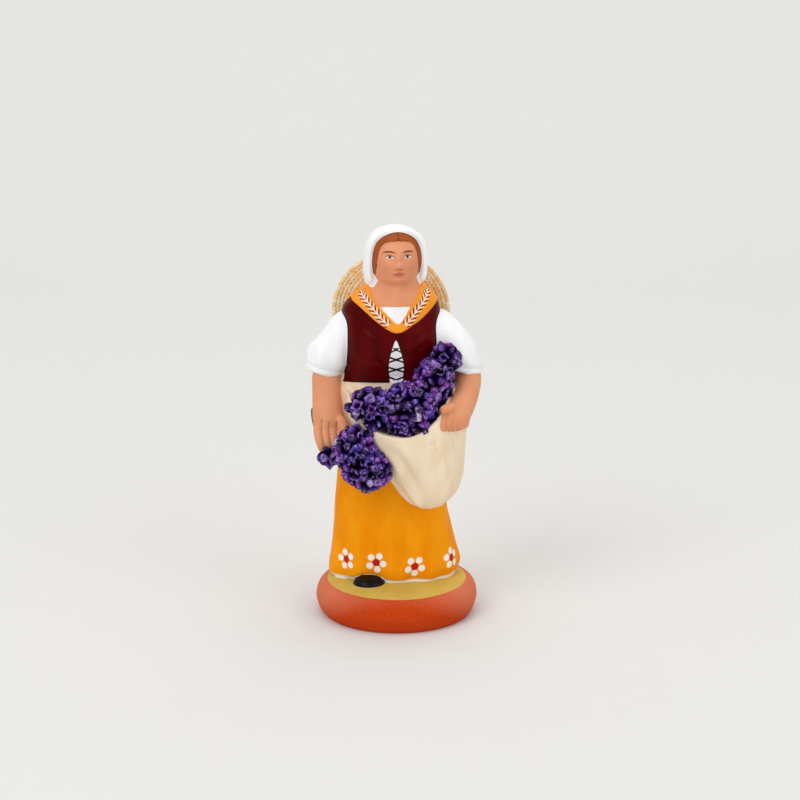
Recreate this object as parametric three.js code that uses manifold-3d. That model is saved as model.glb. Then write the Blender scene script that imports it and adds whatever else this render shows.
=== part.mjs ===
// A painted clay santon: a stout countrywoman of Provence, who holds up her apron full of lavender
// with one hand and a bunch of it in the other, with a straw hat hung on her back.
// Millimetres, +Z up, she faces -Y, and the origin is the centre of the base's underside.
import * as THREE from 'three';
import { mergeVertices } from 'three/addons/utils/BufferGeometryUtils.js';
import Module from 'manifold-3d';

const wasm = await Module();
wasm.setup();

// Driving dimensions, in millimetres
const figureHeight = 64; // from the ground she stands on to the top of her coif
const baseHeight = 6; // from the underside to the edge of the painted ground
const baseRadius = 14.3; // at the widest, half way up the rounded rim
const baseFootRadius = 13.1; // where the rim meets the table
const groundRadius = 12.5; // the painted ground inside the rim
const groundRise = 0.5; // how far the ground swells up to the hem

const hatRadius = 10.6;
const hatCrownRadius = 5.4;
const hatCrownDepth = 3.6;
const strawThickness = 0.6;
const hatDroop = 1.4; // how far the brim's sides hang forward, round the shoulders

const blossomSize = 1.05; // half the width of one lump of dried blossoms
const blossomSpacing = 2.9;
const seatGap = 0.3; // left between the clay and whatever is glued to it

// A sculptor's grid: the figure's height is 64 parts, and every table of the figure is in parts,
// measured from the ground, with x to the viewer's right and y to the back.
const gridParts = 64;
const part = figureHeight / gridParts;

// Layers of cloth over the body, in parts
const bodiceLayer = 0.25;
const fichuLayer = 0.5;
const apronLayer = 0.35;
const hairLayer = 0.35;
const petticoatInset = 0.35;

const red = new THREE.Color(0xb5563a);

// A closed solid from any closed three.js geometry
function solid(geometry) {
  const bare = new THREE.BufferGeometry().setAttribute('position', geometry.getAttribute('position'));
  if (geometry.index) bare.setIndex(geometry.index);
  const merged = mergeVertices(bare, 1e-4);
  const index = merged.index.array;
  const triangles = [];
  for (let i = 0; i < index.length; i += 3) {
    const [a, b, c] = [index[i], index[i + 1], index[i + 2]];
    if (a !== b && b !== c && c !== a) triangles.push(a, b, c);
  }
  return new wasm.Manifold(new wasm.Mesh({
    numProp: 3,
    vertProperties: merged.attributes.position.array,
    triVerts: new Uint32Array(triangles),
  }));
}

function union(solids) {
  return solids.reduce((whole, next) => whole.add(next));
}

// The biggest body of a solid, without the crumbs that a cut leaves beside it
function biggest(whole) {
  return whole.decompose().reduce((best, body) => (body.volume() > best.volume() ? body : best));
}

// A sphere's grid with each vertex moved to place(turn, climb): turn is the angle round, and climb
// goes from 0 at the lower pole to 1 at the upper one
function reshapedSphere(sides, rows, place) {
  const ball = new THREE.SphereGeometry(1, sides, rows);
  const { position, uv } = ball.attributes;
  const point = new THREE.Vector3();
  for (let i = 0; i < position.count; i++) {
    place(Math.PI * (2 * uv.getX(i) + 1), uv.getY(i), point);
    position.setXYZ(i, point.x, point.y, point.z);
  }
  return ball;
}

function curveThrough(points) {
  return new THREE.CatmullRomCurve3(points, false, 'catmullrom', 0.5);
}

// A superellipse's cosine or sine: square 2 is an ellipse, and more is boxier
function squared(value, square) {
  return Math.sign(value) * Math.abs(value) ** (2 / square);
}

// An upright form through level rings. A station is [height, x, y, half width, half depth], in parts.
// shift(turn, share) may return how far the ring's point moves outwards and upwards.
function loft({ stations, sides, rows, square = 2, grow = 0, shift = null }) {
  const spine = curveThrough(stations.map(([z, x, y]) => new THREE.Vector3(x, y, z)));
  const girth = curveThrough(stations.map(([, , , w, d]) => new THREE.Vector3(w, d, 0)));
  const centre = new THREE.Vector3();
  const half = new THREE.Vector3();
  return solid(reshapedSphere(sides, rows + 2, (turn, climb, point) => {
    const row = Math.round(climb * (rows + 2));
    const share = THREE.MathUtils.clamp((row - 1) / rows, 0, 1);
    const pole = row === 0 || row === rows + 2;
    spine.getPoint(share, centre);
    girth.getPoint(share, half);
    const [out, up] = pole || !shift ? [0, 0] : shift(turn, share);
    const reach = pole ? 0 : 1;
    const endGrow = row <= 1 ? -grow : row >= rows + 1 ? grow : 0;
    point.set(
      centre.x + reach * (half.x + out + grow) * squared(Math.cos(turn), square),
      centre.y + reach * (half.y + out + grow) * squared(Math.sin(turn), square),
      centre.z + up + endGrow,
    );
  }));
}

// A rounded limb along a path. A station is [x, y, z, half width, half thickness], in parts, and
// blunt 2 gives an ellipsoid and more gives a tube with round ends.
function limb({ stations, sides, rows, blunt = 4, grow = 0 }) {
  const path = curveThrough(stations.map(([x, y, z]) => new THREE.Vector3(x, y, z)));
  const girth = curveThrough(stations.map(([, , , w, d]) => new THREE.Vector3(w, d, 0)));
  const centre = new THREE.Vector3();
  const half = new THREE.Vector3();
  const depthwise = new THREE.Vector3(0, 1, 0);
  return solid(reshapedSphere(sides, rows, (turn, climb, point) => {
    const share = (1 - Math.cos(Math.PI * climb)) / 2;
    path.getPoint(share, centre);
    girth.getPoint(share, half);
    const along = path.getTangent(share);
    const across = new THREE.Vector3().crossVectors(depthwise, along).normalize();
    const over = new THREE.Vector3().crossVectors(along, across);
    const round = Math.sqrt(Math.max(0, 1 - Math.abs(2 * share - 1) ** blunt));
    const end = Math.cos(Math.PI * climb) * -grow;
    point.copy(centre)
      .addScaledVector(across, round * (half.x + grow) * Math.cos(turn))
      .addScaledVector(over, round * (half.y + grow) * Math.sin(turn))
      .addScaledVector(along, end);
  }));
}

function ellipsoid({ at, half, sides = 16, rows = 10, grow = 0 }) {
  return solid(reshapedSphere(sides, rows, (turn, climb, point) => {
    const ring = Math.sin(Math.PI * climb);
    point.set(
      at[0] + (half[0] + grow) * ring * Math.cos(turn),
      at[1] + (half[1] + grow) * ring * Math.sin(turn),
      at[2] - (half[2] + grow) * Math.cos(Math.PI * climb),
    );
  }));
}

// A block cut along an outline of [x, height] points, from one depth to another
function prism(outline, front, back) {
  const shape = new THREE.Shape(outline.map(([x, z]) => new THREE.Vector2(x, z)));
  const block = new THREE.ExtrudeGeometry(shape, { depth: back - front, bevelEnabled: false });
  block.rotateX(Math.PI / 2).translate(0, back, 0);
  return solid(block);
}

// A block right across the figure, cut along an outline of [y, height] points
function crossBlock(outline) {
  const shape = new THREE.Shape(outline.map(([y, z]) => new THREE.Vector2(y, z)));
  const block = new THREE.ExtrudeGeometry(shape, { depth: 2 * farAway, bevelEnabled: false });
  // Shape x and y become the figure's y and z, and the depth runs across it
  block.applyMatrix4(new THREE.Matrix4().makeBasis(
    new THREE.Vector3(0, 1, 0), new THREE.Vector3(0, 0, 1), new THREE.Vector3(1, 0, 0),
  )).translate(-farAway, 0, 0);
  return solid(block);
}

// The points of a smooth line through a few chosen ones
function smoothLine(points, steps) {
  return new THREE.SplineCurve(points.map(([x, z]) => new THREE.Vector2(x, z)))
    .getPoints(steps).map(({ x, y }) => [x, y]);
}

function boxBetween(low, high) {
  const size = high.map((value, i) => value - low[i]);
  const middle = high.map((value, i) => (value + low[i]) / 2);
  return solid(new THREE.BoxGeometry(...size).translate(...middle));
}

const farAway = 40; // past every side of the figure, in parts

// Body and dress

const torsoStations = [
  [34.0, -0.8, 0.8, 8.0, 5.4],
  [37.5, -0.8, 0.6, 8.0, 5.2],
  [41.0, -0.8, 0.2, 8.1, 5.8],
  [44.5, -0.8, -0.1, 8.0, 6.1],
  [47.5, -0.9, 0.1, 8.0, 5.6],
  [49.4, -1.0, 0.3, 8.2, 5.2],
  [51.0, -0.7, 0.2, 7.4, 4.8],
  [52.4, -0.4, 0.1, 6.0, 4.1],
  [53.7, -0.3, 0.1, 4.6, 3.6],
  [55.5, -0.2, 0.2, 3.9, 3.2],
  [57.0, -0.1, 0.2, 3.4, 3.0],
];

function torso(grow) {
  return loft({ stations: torsoStations, sides: 24, rows: 9, square: 2.2, grow });
}

const skirtStations = [
  [1.0, -0.8, 1.9, 11.5, 6.9],
  [2.8, -0.5, 2.0, 11.75, 7.3],
  [6.1, -0.65, 2.0, 11.05, 7.1],
  [10.0, -0.9, 1.9, 10.4, 6.9],
  [13.3, -1.15, 1.8, 9.95, 6.7],
  [19.2, -1.1, 1.6, 9.5, 6.7],
  [27.0, -1.0, 1.2, 9.3, 6.6],
  [32.0, -0.9, 0.9, 9.1, 6.2],
  [36.0, -0.8, 0.6, 8.2, 5.4],
  [38.0, -0.8, 0.5, 7.7, 5.0],
];
const skirtFolds = 11;
const skirtFoldDepth = 0.32;
const hemLift = { x: -4.9, width: 2.7, height: 0.95 }; // where the hem rides up over the shoe

function skirtShift(turn, share) {
  const low = 1 - share;
  const fold = skirtFoldDepth * low * Math.cos(skirtFolds * turn + 2 * Math.sin(turn));
  const x = skirtStations[0][1] + skirtStations[0][3] * Math.cos(turn);
  const atShoe = Math.exp(-(((x - hemLift.x) / hemLift.width) ** 2));
  const front = Math.max(0, -Math.sin(turn));
  return [fold, hemLift.height * atShoe * front * low ** 8];
}

function skirt(grow) {
  return loft({ stations: skirtStations, sides: 40, rows: 6, square: 2.2, grow, shift: skirtShift });
}

// The petticoat's edge under the hem, and the clay that ties the figure to the ground
function petticoat(grow) {
  const [, x, y, w, d] = skirtStations[0];
  const edge = { w: w - petticoatInset, d: d - petticoatInset };
  const core = { w: w - 3 * petticoatInset, d: d - 3 * petticoatInset };
  const lifted = (turn, share) => skirtShift(turn, 0).map((value) => value * 0.8);
  return union([
    loft({
      stations: [[0.6, x, y, edge.w, edge.d], [2.2, x, y, edge.w, edge.d]],
      sides: 26, rows: 1, square: 2.2, grow, shift: lifted,
    }),
    loft({
      stations: [[-2, x, y, core.w, core.d], [2.2, x, y, core.w, core.d]],
      sides: 20, rows: 1, square: 2.2, grow,
    }),
  ]);
}

function shoe(grow) {
  return ellipsoid({ at: [-4.9, -4.9, 0.6], half: [2.75, 2.5, 1.3], sides: 14, rows: 6, grow });
}

// The bodice is a layer over the torso that flares over the skirt's top, laced where it opens in front
const bodiceStations = [
  [34.0, -0.8, 0.8, 10.2, 7.4], [37.5, -0.8, 0.6, 8.25, 5.45], ...torsoStations.slice(2),
];
const bodiceHem = { front: [-6.5, 37.6], sides: [0, 36.3] }; // [y, height] of its lower edge
const lacingOutline = [
  [-1.2, 35], [-1.2, 37], [-1.45, 40.1], [-1.0, 42.8], [-0.1, 45.2], [0.85, 42.8], [1.35, 40.1], [1.1, 37],
  [1.1, 35],
];
const neckOpening = [[-9, 56], [-6.4, 51], [-3.6, 49], [0.1, 46.9], [3.6, 49], [6, 51], [8, 56]];

function bodice(grow) {
  const below = crossBlock([
    [bodiceHem.front[0], bodiceHem.front[1] - grow],
    [bodiceHem.sides[0], bodiceHem.sides[1] - grow],
    [farAway, bodiceHem.sides[1] - grow],
    [farAway, 0],
    [-farAway, 0],
    [-farAway, bodiceHem.front[1] - grow],
  ]);
  return loft({ stations: bodiceStations, sides: 24, rows: 9, square: 2.2, grow: bodiceLayer + grow })
    .subtract(below)
    .subtract(prism(lacingOutline, -farAway, 0))
    .subtract(prism(neckOpening, -farAway, farAway));
}

// The fichu crosses on the chest and falls to a point on the back
const collarTop = 54.4;
const fichuFront = [
  [-9.2, 57], [-8.3, 51.4], [-6.4, 50.9], [-5.1, 49.8], [-2.9, 48.1], [0.1, 46.4], [3.1, 47.8], [5.1, 49.2],
  [6.4, 50.4], [7.4, 51.8], [9, 57],
];
const fichuNeckline = [
  [-5.6, 57], [-4.4, 52.4], [-3.1, 50.6], [-1.8, 49.3], [0.1, 47.6], [1.3, 48.5], [2.4, 50.3], [3.9, 52.7],
  [5.2, 57],
];
const fichuBack = [[-9.2, 57], [-8.6, 50.2], [-0.7, 40.5], [7.4, 50.6], [9, 57]];

function fichu(grow) {
  const cloth = torso(fichuLayer + grow);
  const front = cloth.intersect(prism(fichuFront, -farAway, 0)).subtract(prism(fichuNeckline, -farAway, 0));
  const back = cloth.intersect(prism(fichuBack, 0, farAway));
  const coifRoom = boxBetween([-farAway, -farAway, collarTop], [farAway, farAway, farAway * 2]);
  return front.add(back).subtract(coifRoom);
}

// Head

const headAt = [0, -0.6, 58.6];
const headHalf = [4.25, 4.75, 5.2];
const jawFullness = 2.6; // 2 would round the head off to a point at the chin, like an egg
const frontDetail = 0.5; // 0 would space the head's facets evenly, and more gathers them in the face
const headTurn = 8; // degrees, to the viewer's right
const headTilt = 5; // degrees, chin forward
const headShift = -0.3; // sideways, over the neck
const fromHead = ([x, z]) => [headAt[0] + headHalf[0] * x, headAt[2] + headHalf[2] * z];
// Where the hair stops round the face, in shares of the head's half width and half height
const faceOutline = smoothLine([
  [-0.87, -1.4], [-0.87, -0.7], [-0.85, -0.04], [-0.72, 0.37], [-0.47, 0.56], [-0.06, 0.6], [0, 0.68],
  [0.06, 0.6], [0.47, 0.56], [0.72, 0.37], [0.85, -0.04], [0.87, -0.7], [0.87, -1.4],
].map(fromHead), 16);

// The face's soft forms: [x, height over the head's middle, spread sideways, spread in height, how far
// forward], in parts
const faceForms = [
  [0, -1.2, 0.65, 0.6, 0.75], // tip of the nose
  [0, 0, 0.5, 1.0, 0.4], // bridge
  [-1.6, 0.5, 0.8, 0.5, -0.35], // eye sockets
  [1.6, 0.5, 0.8, 0.5, -0.35],
  [-2.1, -1.4, 1.1, 1.0, 0.25], // cheeks
  [2.1, -1.4, 1.1, 1.0, 0.25],
  [0, -2.65, 1.0, 0.35, 0.3], // lips
  [0, -3.85, 1.0, 0.6, 0.5], // chin
];

function face(grow) {
  return solid(reshapedSphere(22, 16, (turn, climb, point) => {
    const around = turn - frontDetail * Math.cos(turn);
    const rise = -Math.cos(Math.PI * climb);
    const full = rise < 0 ? jawFullness : 2;
    const ring = (1 - Math.abs(rise) ** full) ** (1 / full);
    const x = headAt[0] + (headHalf[0] + grow) * ring * Math.cos(around);
    const z = headAt[2] + (headHalf[2] + grow) * rise;
    let y = headAt[1] + (headHalf[1] + grow) * ring * Math.sin(around);
    if (Math.sin(around) < 0) {
      for (const [fx, fz, wide, tall, forward] of faceForms) {
        const aside = (x - headAt[0] - fx) / wide;
        const above = (z - headAt[2] - fz) / tall;
        y -= forward * ring * Math.exp(-aside * aside - above * above);
      }
    }
    point.set(x, y, z);
  }));
}

const coifStations = [
  [53.2, 0, 0.9, 4.9, 3.9],
  [55.0, 0, 0.9, 5.3, 4.6],
  [57.5, 0, 0.8, 5.45, 5.0],
  [60.0, 0, 0.6, 5.25, 5.0],
  [62.0, 0, 0.2, 4.4, 4.5],
  [63.3, 0, -0.2, 3.0, 3.5],
  [64.0, 0, -0.4, 0.9, 1.2],
];
const coifRim = { top: [-2.9, 64.5], bottom: [-1.3, 52.5] }; // [y, height] of its front edge
const hairUnderCoif = 0.5; // how far the hair reaches in behind that edge

function hair(grow) {
  const hidden = crossBlock([
    [coifRim.top[0] + hairUnderCoif, coifRim.top[1]],
    [farAway, coifRim.top[1]],
    [farAway, coifRim.bottom[1]],
    [coifRim.bottom[0] + hairUnderCoif, coifRim.bottom[1]],
  ]);
  return ellipsoid({ at: headAt, half: headHalf, sides: 18, rows: 10, grow: hairLayer + grow })
    .subtract(prism(faceOutline, -farAway, headAt[1]))
    .subtract(hidden);
}

function coif(grow) {
  const ahead = crossBlock([
    [coifRim.top[0] - grow, coifRim.top[1]],
    [-farAway, coifRim.top[1]],
    [-farAway, coifRim.bottom[1]],
    [coifRim.bottom[0] - grow, coifRim.bottom[1]],
  ]);
  return loft({ stations: coifStations, sides: 22, rows: 8, grow }).subtract(ahead);
}

function head(grow) {
  const upright = union([face(grow), hair(grow), coif(grow)]).translate([0, 0, -headAt[2]]);
  return upright.rotate([-headTilt, 0, headTurn]).translate([headShift, 0, headAt[2]]);
}

// Arms

// The sleeves' lower edges, each a line of two [x, height] points
const cuffs = { right: [[-18, 39.3], [-8, 37.0]], left: [[8, 39.5], [17, 37.3]] };

function underCuff(line, grow) {
  const edge = line.map(([x, z]) => [x, z - grow]);
  return prism([...edge, [line[1][0], 0], [line[0][0], 0]], -farAway, farAway);
}

function sleeves(grow) {
  const options = { sides: 12, rows: 8, blunt: 7, grow };
  const right = limb({
    ...options,
    stations: [
      [-7.1, 0.5, 49.0, 2.2, 2.4], [-8.7, 0.4, 45.9, 3.0, 3.3], [-11.0, 0.1, 42.0, 3.55, 3.7],
      [-12.15, -0.3, 39.8, 3.7, 3.7], [-12.1, -0.7, 36.4, 2.7, 3.0],
    ],
  });
  const left = limb({
    ...options,
    stations: [
      [5.8, 0.5, 48.8, 2.3, 2.4], [7.3, 0.4, 45.8, 3.2, 3.3], [9.9, 0.1, 41.8, 3.7, 3.7],
      [11.6, -0.3, 39.2, 3.6, 3.6], [12.1, -0.6, 36.2, 3.0, 3.1],
    ],
  });
  return right.subtract(underCuff(cuffs.right, grow)).add(left.subtract(underCuff(cuffs.left, grow)));
}

const rightPalm = [-11.8, -4.0, 29.6];
const rightFingers = 4;
const leftFingers = 4; // those that hold up the apron's hem

// Her right arm hangs down on the viewer's left, with the hand laid over the bunch
function hangingArm(grow) {
  const fingers = [];
  for (let i = 0; i < rightFingers; i++) {
    fingers.push(limb({
      stations: [
        [-13.75 + 1.32 * i, -4.7, 29.2, 0.8, 0.85],
        [-13.35 + 1.22 * i, -6.1, 27.0, 0.74, 0.78],
        [-12.75 + 1.1 * i, -6.7, 24.9, 0.58, 0.65],
      ],
      sides: 7, rows: 5, blunt: 6, grow,
    }));
  }
  return union([
    limb({
      stations: [
        [-12.15, -0.5, 39.4, 2.75, 2.7], [-12.2, -1.0, 36.6, 2.6, 2.5], [-12.2, -2.1, 33.4, 2.5, 2.3],
        [-12.0, -3.4, 30.6, 2.7, 2.0], [-11.9, -4.0, 28.4, 2.6, 1.8],
      ],
      sides: 12, rows: 8, blunt: 6, grow,
    }),
    ellipsoid({ at: rightPalm, half: [2.75, 1.7, 2.5], sides: 12, rows: 6, grow }),
    limb({
      stations: [[-10.2, -4.2, 31.0, 1.1, 1.2], [-9.2, -5.6, 29.2, 0.95, 0.95], [-8.6, -6.4, 27.6, 0.8, 0.8]],
      sides: 8, rows: 4, grow,
    }),
    ...fingers,
  ]);
}

// Her left arm bends forward on the viewer's right, and its hand holds up the apron's hem
function bentArm(grow) {
  const fingers = [];
  for (let i = 0; i < leftFingers; i++) {
    fingers.push(limb({
      stations: [
        [8.15 + 1.02 * i, -9.3 + 0.3 * i, 32.6 + 0.1 * i, 0.72, 0.8],
        [8.05 + 0.98 * i, -10.1 + 0.3 * i, 31.0 + 0.05 * i, 0.7, 0.76],
        [7.9 + 0.95 * i, -9.5 + 0.35 * i, 29.9 - 0.05 * i, 0.64, 0.7],
      ],
      sides: 7, rows: 5, blunt: 6, grow,
    }));
  }
  return union([
    limb({
      stations: [
        [12.4, -0.3, 39.6, 2.5, 2.6], [12.35, -1.8, 36.6, 2.4, 2.5], [11.6, -4.6, 34.3, 2.45, 2.4],
        [10.5, -7.0, 32.7, 2.6, 2.4], [9.6, -8.3, 31.8, 2.5, 2.2],
      ],
      sides: 12, rows: 8, blunt: 6, grow,
    }),
    ellipsoid({ at: [9.9, -7.9, 32.0], half: [2.9, 2.35, 2.6], sides: 12, rows: 7, grow }),
    limb({
      stations: [[10.6, -8.6, 33.8, 1.0, 0.95], [8.8, -9.6, 33.8, 0.9, 0.85], [7.4, -9.9, 33.3, 0.75, 0.7]],
      sides: 7, rows: 5, grow,
    }),
    ...fingers,
  ]);
}

// The clay left between the arms and the body, which holds the arms on
function clayWebs(grow) {
  return union([
    limb({
      stations: [[-10.6, 0.8, 41, 2.6, 2.2], [-11.2, -0.4, 32, 3.2, 2.2], [-10.5, -2.2, 25.2, 2.5, 1.6]],
      sides: 10, rows: 6, blunt: 3, grow,
    }),
    limb({
      stations: [[9.4, 0.8, 40.5, 2.6, 2.2], [9.7, 0, 36, 2.8, 2.2], [9.0, -0.6, 30.5, 2.0, 1.8]],
      sides: 10, rows: 5, blunt: 3, grow,
    }),
  ]);
}

// Apron

const apronOutline = smoothLine([
  [-10.4, 37.9], [-10.6, 33], [-9.2, 29.4], [-5.6, 25], [-2.3, 21.2], [0.6, 18.1], [3.2, 15.9], [5.5, 15],
  [7.9, 15.7], [9.7, 16.9], [11.0, 19.6], [11.4, 24], [11.6, 30], [11, 37.9],
], 26);

// Its side edges slant forward from the waist, drawn down to the pouch
const apronSides = [[2.1, 39], [-3.2, 12]]; // [y, height]

function apronPanel(grow) {
  const behind = crossBlock([apronSides[0], [farAway, 39], [farAway, 0], apronSides[1]]);
  return skirt(apronLayer + grow).intersect(prism(apronOutline, -farAway, farAway)).subtract(behind);
}

const pouchStations = [
  [14.8, 5.6, -4.4, 1.6, 2.0],
  [15.7, 5.5, -4.3, 3.4, 3.1],
  [17.2, 5.5, -4.1, 4.8, 4.1],
  [19.2, 5.2, -3.9, 5.9, 4.9],
  [22.0, 4.4, -3.9, 7.3, 5.9],
  [25.0, 3.5, -3.9, 8.5, 6.8],
  [28.0, 2.6, -3.9, 9.6, 7.5],
  [31.0, 1.9, -3.9, 10.2, 7.7],
  [34.0, 1.2, -3.8, 9.9, 7.1],
  [36.5, 1.0, -3.4, 9.2, 5.8],
];
const pouchMouth = { x: 0.3, z: 39.5, halfWidth: 9.4, halfHeight: 10.5 };
const pouchFolds = 9;
const pouchFoldDepth = 0.3;

function pouch(grow) {
  const body = loft({
    stations: pouchStations, sides: 28, rows: 8, square: 2.1, grow,
    shift: (turn, share) => [pouchFoldDepth * (1 - share) * Math.cos(pouchFolds * turn + 3 * share), 0],
  });
  const mouth = new THREE.CylinderGeometry(1, 1, farAway, 28)
    .scale(pouchMouth.halfWidth - grow, 1, pouchMouth.halfHeight - grow)
    .translate(pouchMouth.x, -farAway / 2, pouchMouth.z);
  return body.subtract(solid(mouth));
}

// Base

function base(grow) {
  const middle = baseHeight / 2;
  const rimTop = groundRadius;
  const profile = [
    [0, -grow],
    [baseFootRadius + grow, -grow],
    [(baseFootRadius + baseRadius) / 2 + grow, middle * 0.3],
    [baseRadius + grow, middle * 0.85],
    [baseRadius + grow, middle * 1.15],
    [baseRadius - 0.35 + grow, middle * 1.6],
    [rimTop + 0.55 + grow, baseHeight - 0.25 + grow],
    [rimTop - 0.2, baseHeight + grow],
    [rimTop * 0.8, baseHeight + groundRise * 0.6 + grow],
    [0, baseHeight + groundRise + grow],
  ].map(([r, z]) => new THREE.Vector2(r, z));
  return solid(new THREE.LatheGeometry(profile, 32).rotateX(Math.PI / 2));
}

// The whole figure is one moulded piece of clay. grow makes the room that it needs in its neighbours.
function figureSolid(grow = 0) {
  const share = grow / part;
  const body = union([
    torso(share), bodice(share), fichu(share), skirt(share), petticoat(share), shoe(share), head(share),
    sleeves(share), hangingArm(share), bentArm(share), clayWebs(share), apronPanel(share), pouch(share),
  ]);
  return body.scale(part).translate([0, 0, baseHeight]).add(base(grow));
}

// Lavender: dried blossoms glued in a heap, each one a small faceted crumb sunk in the mass

const goldenAngle = Math.PI * (3 - Math.sqrt(5));

// Whether a spot is in or close over another mound, where blossoms would only touch each other
function isCovered(spot, mound) {
  const reach = mound.half.map((value) => value + blossomSize / part);
  return Math.hypot(...spot.map((value, i) => (value - mound.at[i]) / reach[i])) < 1;
}

function blossoms({ at, half, backmost }, others) {
  const area = 4 * Math.PI * (half[0] * half[1] + half[1] * half[2] + half[2] * half[0]) / 3;
  const count = Math.round((area * part * part) / (blossomSpacing * blossomSpacing));
  const crumbs = [];
  for (let i = 0; i < count; i++) {
    const climb = 1 - (2 * (i + 0.5)) / count;
    const ring = Math.sqrt(1 - climb * climb);
    const turn = goldenAngle * i;
    const spot = [
      at[0] + half[0] * ring * Math.cos(turn),
      at[1] + half[1] * ring * Math.sin(turn),
      at[2] + half[2] * climb,
    ];
    if (spot[1] > backmost || others.some((mound) => isCovered(spot, mound))) continue;
    const size = (blossomSize / part) * (1 + 0.15 * Math.sin(7 * i));
    crumbs.push(solid(new THREE.IcosahedronGeometry(size, 0).rotateX(i).rotateZ(2 * i).translate(...spot)));
  }
  return crumbs;
}

function lavender(mounds, room) {
  const mass = union(mounds.flatMap((mound) => [
    ellipsoid({ at: mound.at, half: mound.half, sides: 12, rows: 6 }),
    ...blossoms(mound, mounds.filter((other) => other !== mound)),
  ]));
  return biggest(mass.scale(part).translate([0, 0, baseHeight]).subtract(room));
}

// The heap's mounds stand over the pouch's mouth, and the bunch's hang from the palm
const overMouth = ([x, y, z]) => [pouchMouth.x + x, y, pouchMouth.z + z];
const underPalm = ([x, y, z]) => [rightPalm[0] + x, rightPalm[1] + y, rightPalm[2] + z];
const heapMounds = [
  { at: overMouth([-4.3, -7.8, -5.6]), half: [4.5, 3.6, 3.0], backmost: -7.5 },
  { at: overMouth([2.0, -8.0, -6.5]), half: [5.4, 4.3, 5.0], backmost: -7.5 },
  { at: overMouth([6.3, -6.6, -1.5]), half: [3.5, 3.2, 3.9], backmost: -6.5 },
  { at: overMouth([8.1, -5.3, 2.0]), half: [2.7, 2.4, 2.8], backmost: -5 },
];
const bunchMounds = [
  { at: underPalm([4.8, -5.3, -3.2]), half: [3.9, 3.6, 4.1], backmost: -9 },
  { at: underPalm([6.9, -5.3, -6.6]), half: [4.1, 3.4, 4.0], backmost: -9 },
  { at: underPalm([0.3, -4.4, -4.6]), half: [2.0, 1.7, 1.8], backmost: -7 },
];

// Straw hat

function hatSolid() {
  const crownBend = hatCrownRadius * 0.82;
  const profile = [
    [0, hatCrownDepth],
    [crownBend, hatCrownDepth * 0.95],
    [hatCrownRadius * 0.96, hatCrownDepth * 0.66],
    [hatCrownRadius, hatCrownDepth * 0.15],
    [hatCrownRadius + strawThickness, 0],
    [(hatCrownRadius + hatRadius) / 2, -0.05],
    [hatRadius, 0],
    [hatRadius, -strawThickness],
    [hatCrownRadius, -strawThickness],
    [hatCrownRadius - strawThickness, 0],
    [hatCrownRadius * 0.96 - strawThickness, hatCrownDepth * 0.6],
    [crownBend - strawThickness * 0.4, hatCrownDepth * 0.95 - strawThickness],
    [0, hatCrownDepth - strawThickness],
  ].map(([r, y]) => new THREE.Vector2(r, y)).reverse();
  const hat = new THREE.LatheGeometry(profile, 28);
  const position = hat.getAttribute('position');
  for (let i = 0; i < position.count; i++) {
    const sideways = position.getX(i) / hatRadius;
    position.setY(i, position.getY(i) - hatDroop * sideways * sideways);
  }
  return hat;
}

const bodyBack = Math.max(...torsoStations.map(([, , y, , halfDepth]) => y + halfDepth)) + fichuLayer;
const hatMiddle = { x: -1.0, z: 47.3 };
const hatAt = [
  hatMiddle.x * part, bodyBack * part + seatGap + strawThickness, baseHeight + hatMiddle.z * part,
];

// Nodes

function mesh(name, shape, color) {
  const { vertProperties, triVerts } = shape.getMesh();
  const geometry = new THREE.BufferGeometry();
  geometry.setAttribute('position', new THREE.BufferAttribute(vertProperties, 3));
  geometry.setIndex(new THREE.BufferAttribute(triVerts, 1));
  geometry.computeVertexNormals();
  const material = new THREE.MeshStandardMaterial({ color, roughness: 0.8, metalness: 0, flatShading: true });
  const node = new THREE.Mesh(geometry, material);
  node.name = name;
  return node;
}

const santon = new THREE.Group();
santon.name = 'santon';

const room = figureSolid(seatGap);
santon.add(mesh('figure', figureSolid(), red));
santon.add(mesh('lavender_heap', lavender(heapMounds, room), 0x4a2f8a));
santon.add(mesh('lavender_bunch', lavender(bunchMounds, room), 0x52309a));
const hat = mesh('straw_hat', solid(hatSolid()), 0xd9b06c);
hat.position.set(...hatAt);
santon.add(hat);

export default santon;
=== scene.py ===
import math

import bmesh
import bpy
import numpy as np
from mathutils import Euler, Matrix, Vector
from mathutils.bvhtree import BVHTree


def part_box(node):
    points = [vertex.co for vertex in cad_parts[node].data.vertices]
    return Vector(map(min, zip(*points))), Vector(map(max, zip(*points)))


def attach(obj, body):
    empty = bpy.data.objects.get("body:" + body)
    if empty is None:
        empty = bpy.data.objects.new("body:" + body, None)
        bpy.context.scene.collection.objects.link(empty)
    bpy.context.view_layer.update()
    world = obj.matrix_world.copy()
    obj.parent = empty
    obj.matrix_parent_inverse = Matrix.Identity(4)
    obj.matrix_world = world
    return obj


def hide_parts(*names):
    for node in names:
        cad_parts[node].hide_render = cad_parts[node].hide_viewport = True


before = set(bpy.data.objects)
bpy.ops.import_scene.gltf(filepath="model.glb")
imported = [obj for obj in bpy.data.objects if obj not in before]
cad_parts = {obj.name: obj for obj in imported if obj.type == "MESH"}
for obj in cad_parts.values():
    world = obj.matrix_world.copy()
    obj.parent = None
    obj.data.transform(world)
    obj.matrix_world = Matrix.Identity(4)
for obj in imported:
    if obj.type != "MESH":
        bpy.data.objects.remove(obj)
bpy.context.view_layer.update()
print("frame loaded")

# Lengths here are millimetres, and a mesh is scaled to metres when it is finished.
# The figure's height is 64 parts, a part is a millimetre, and heights in the tables are over the ground.
mm = 0.001
far = 40.0  # past every form

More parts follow.
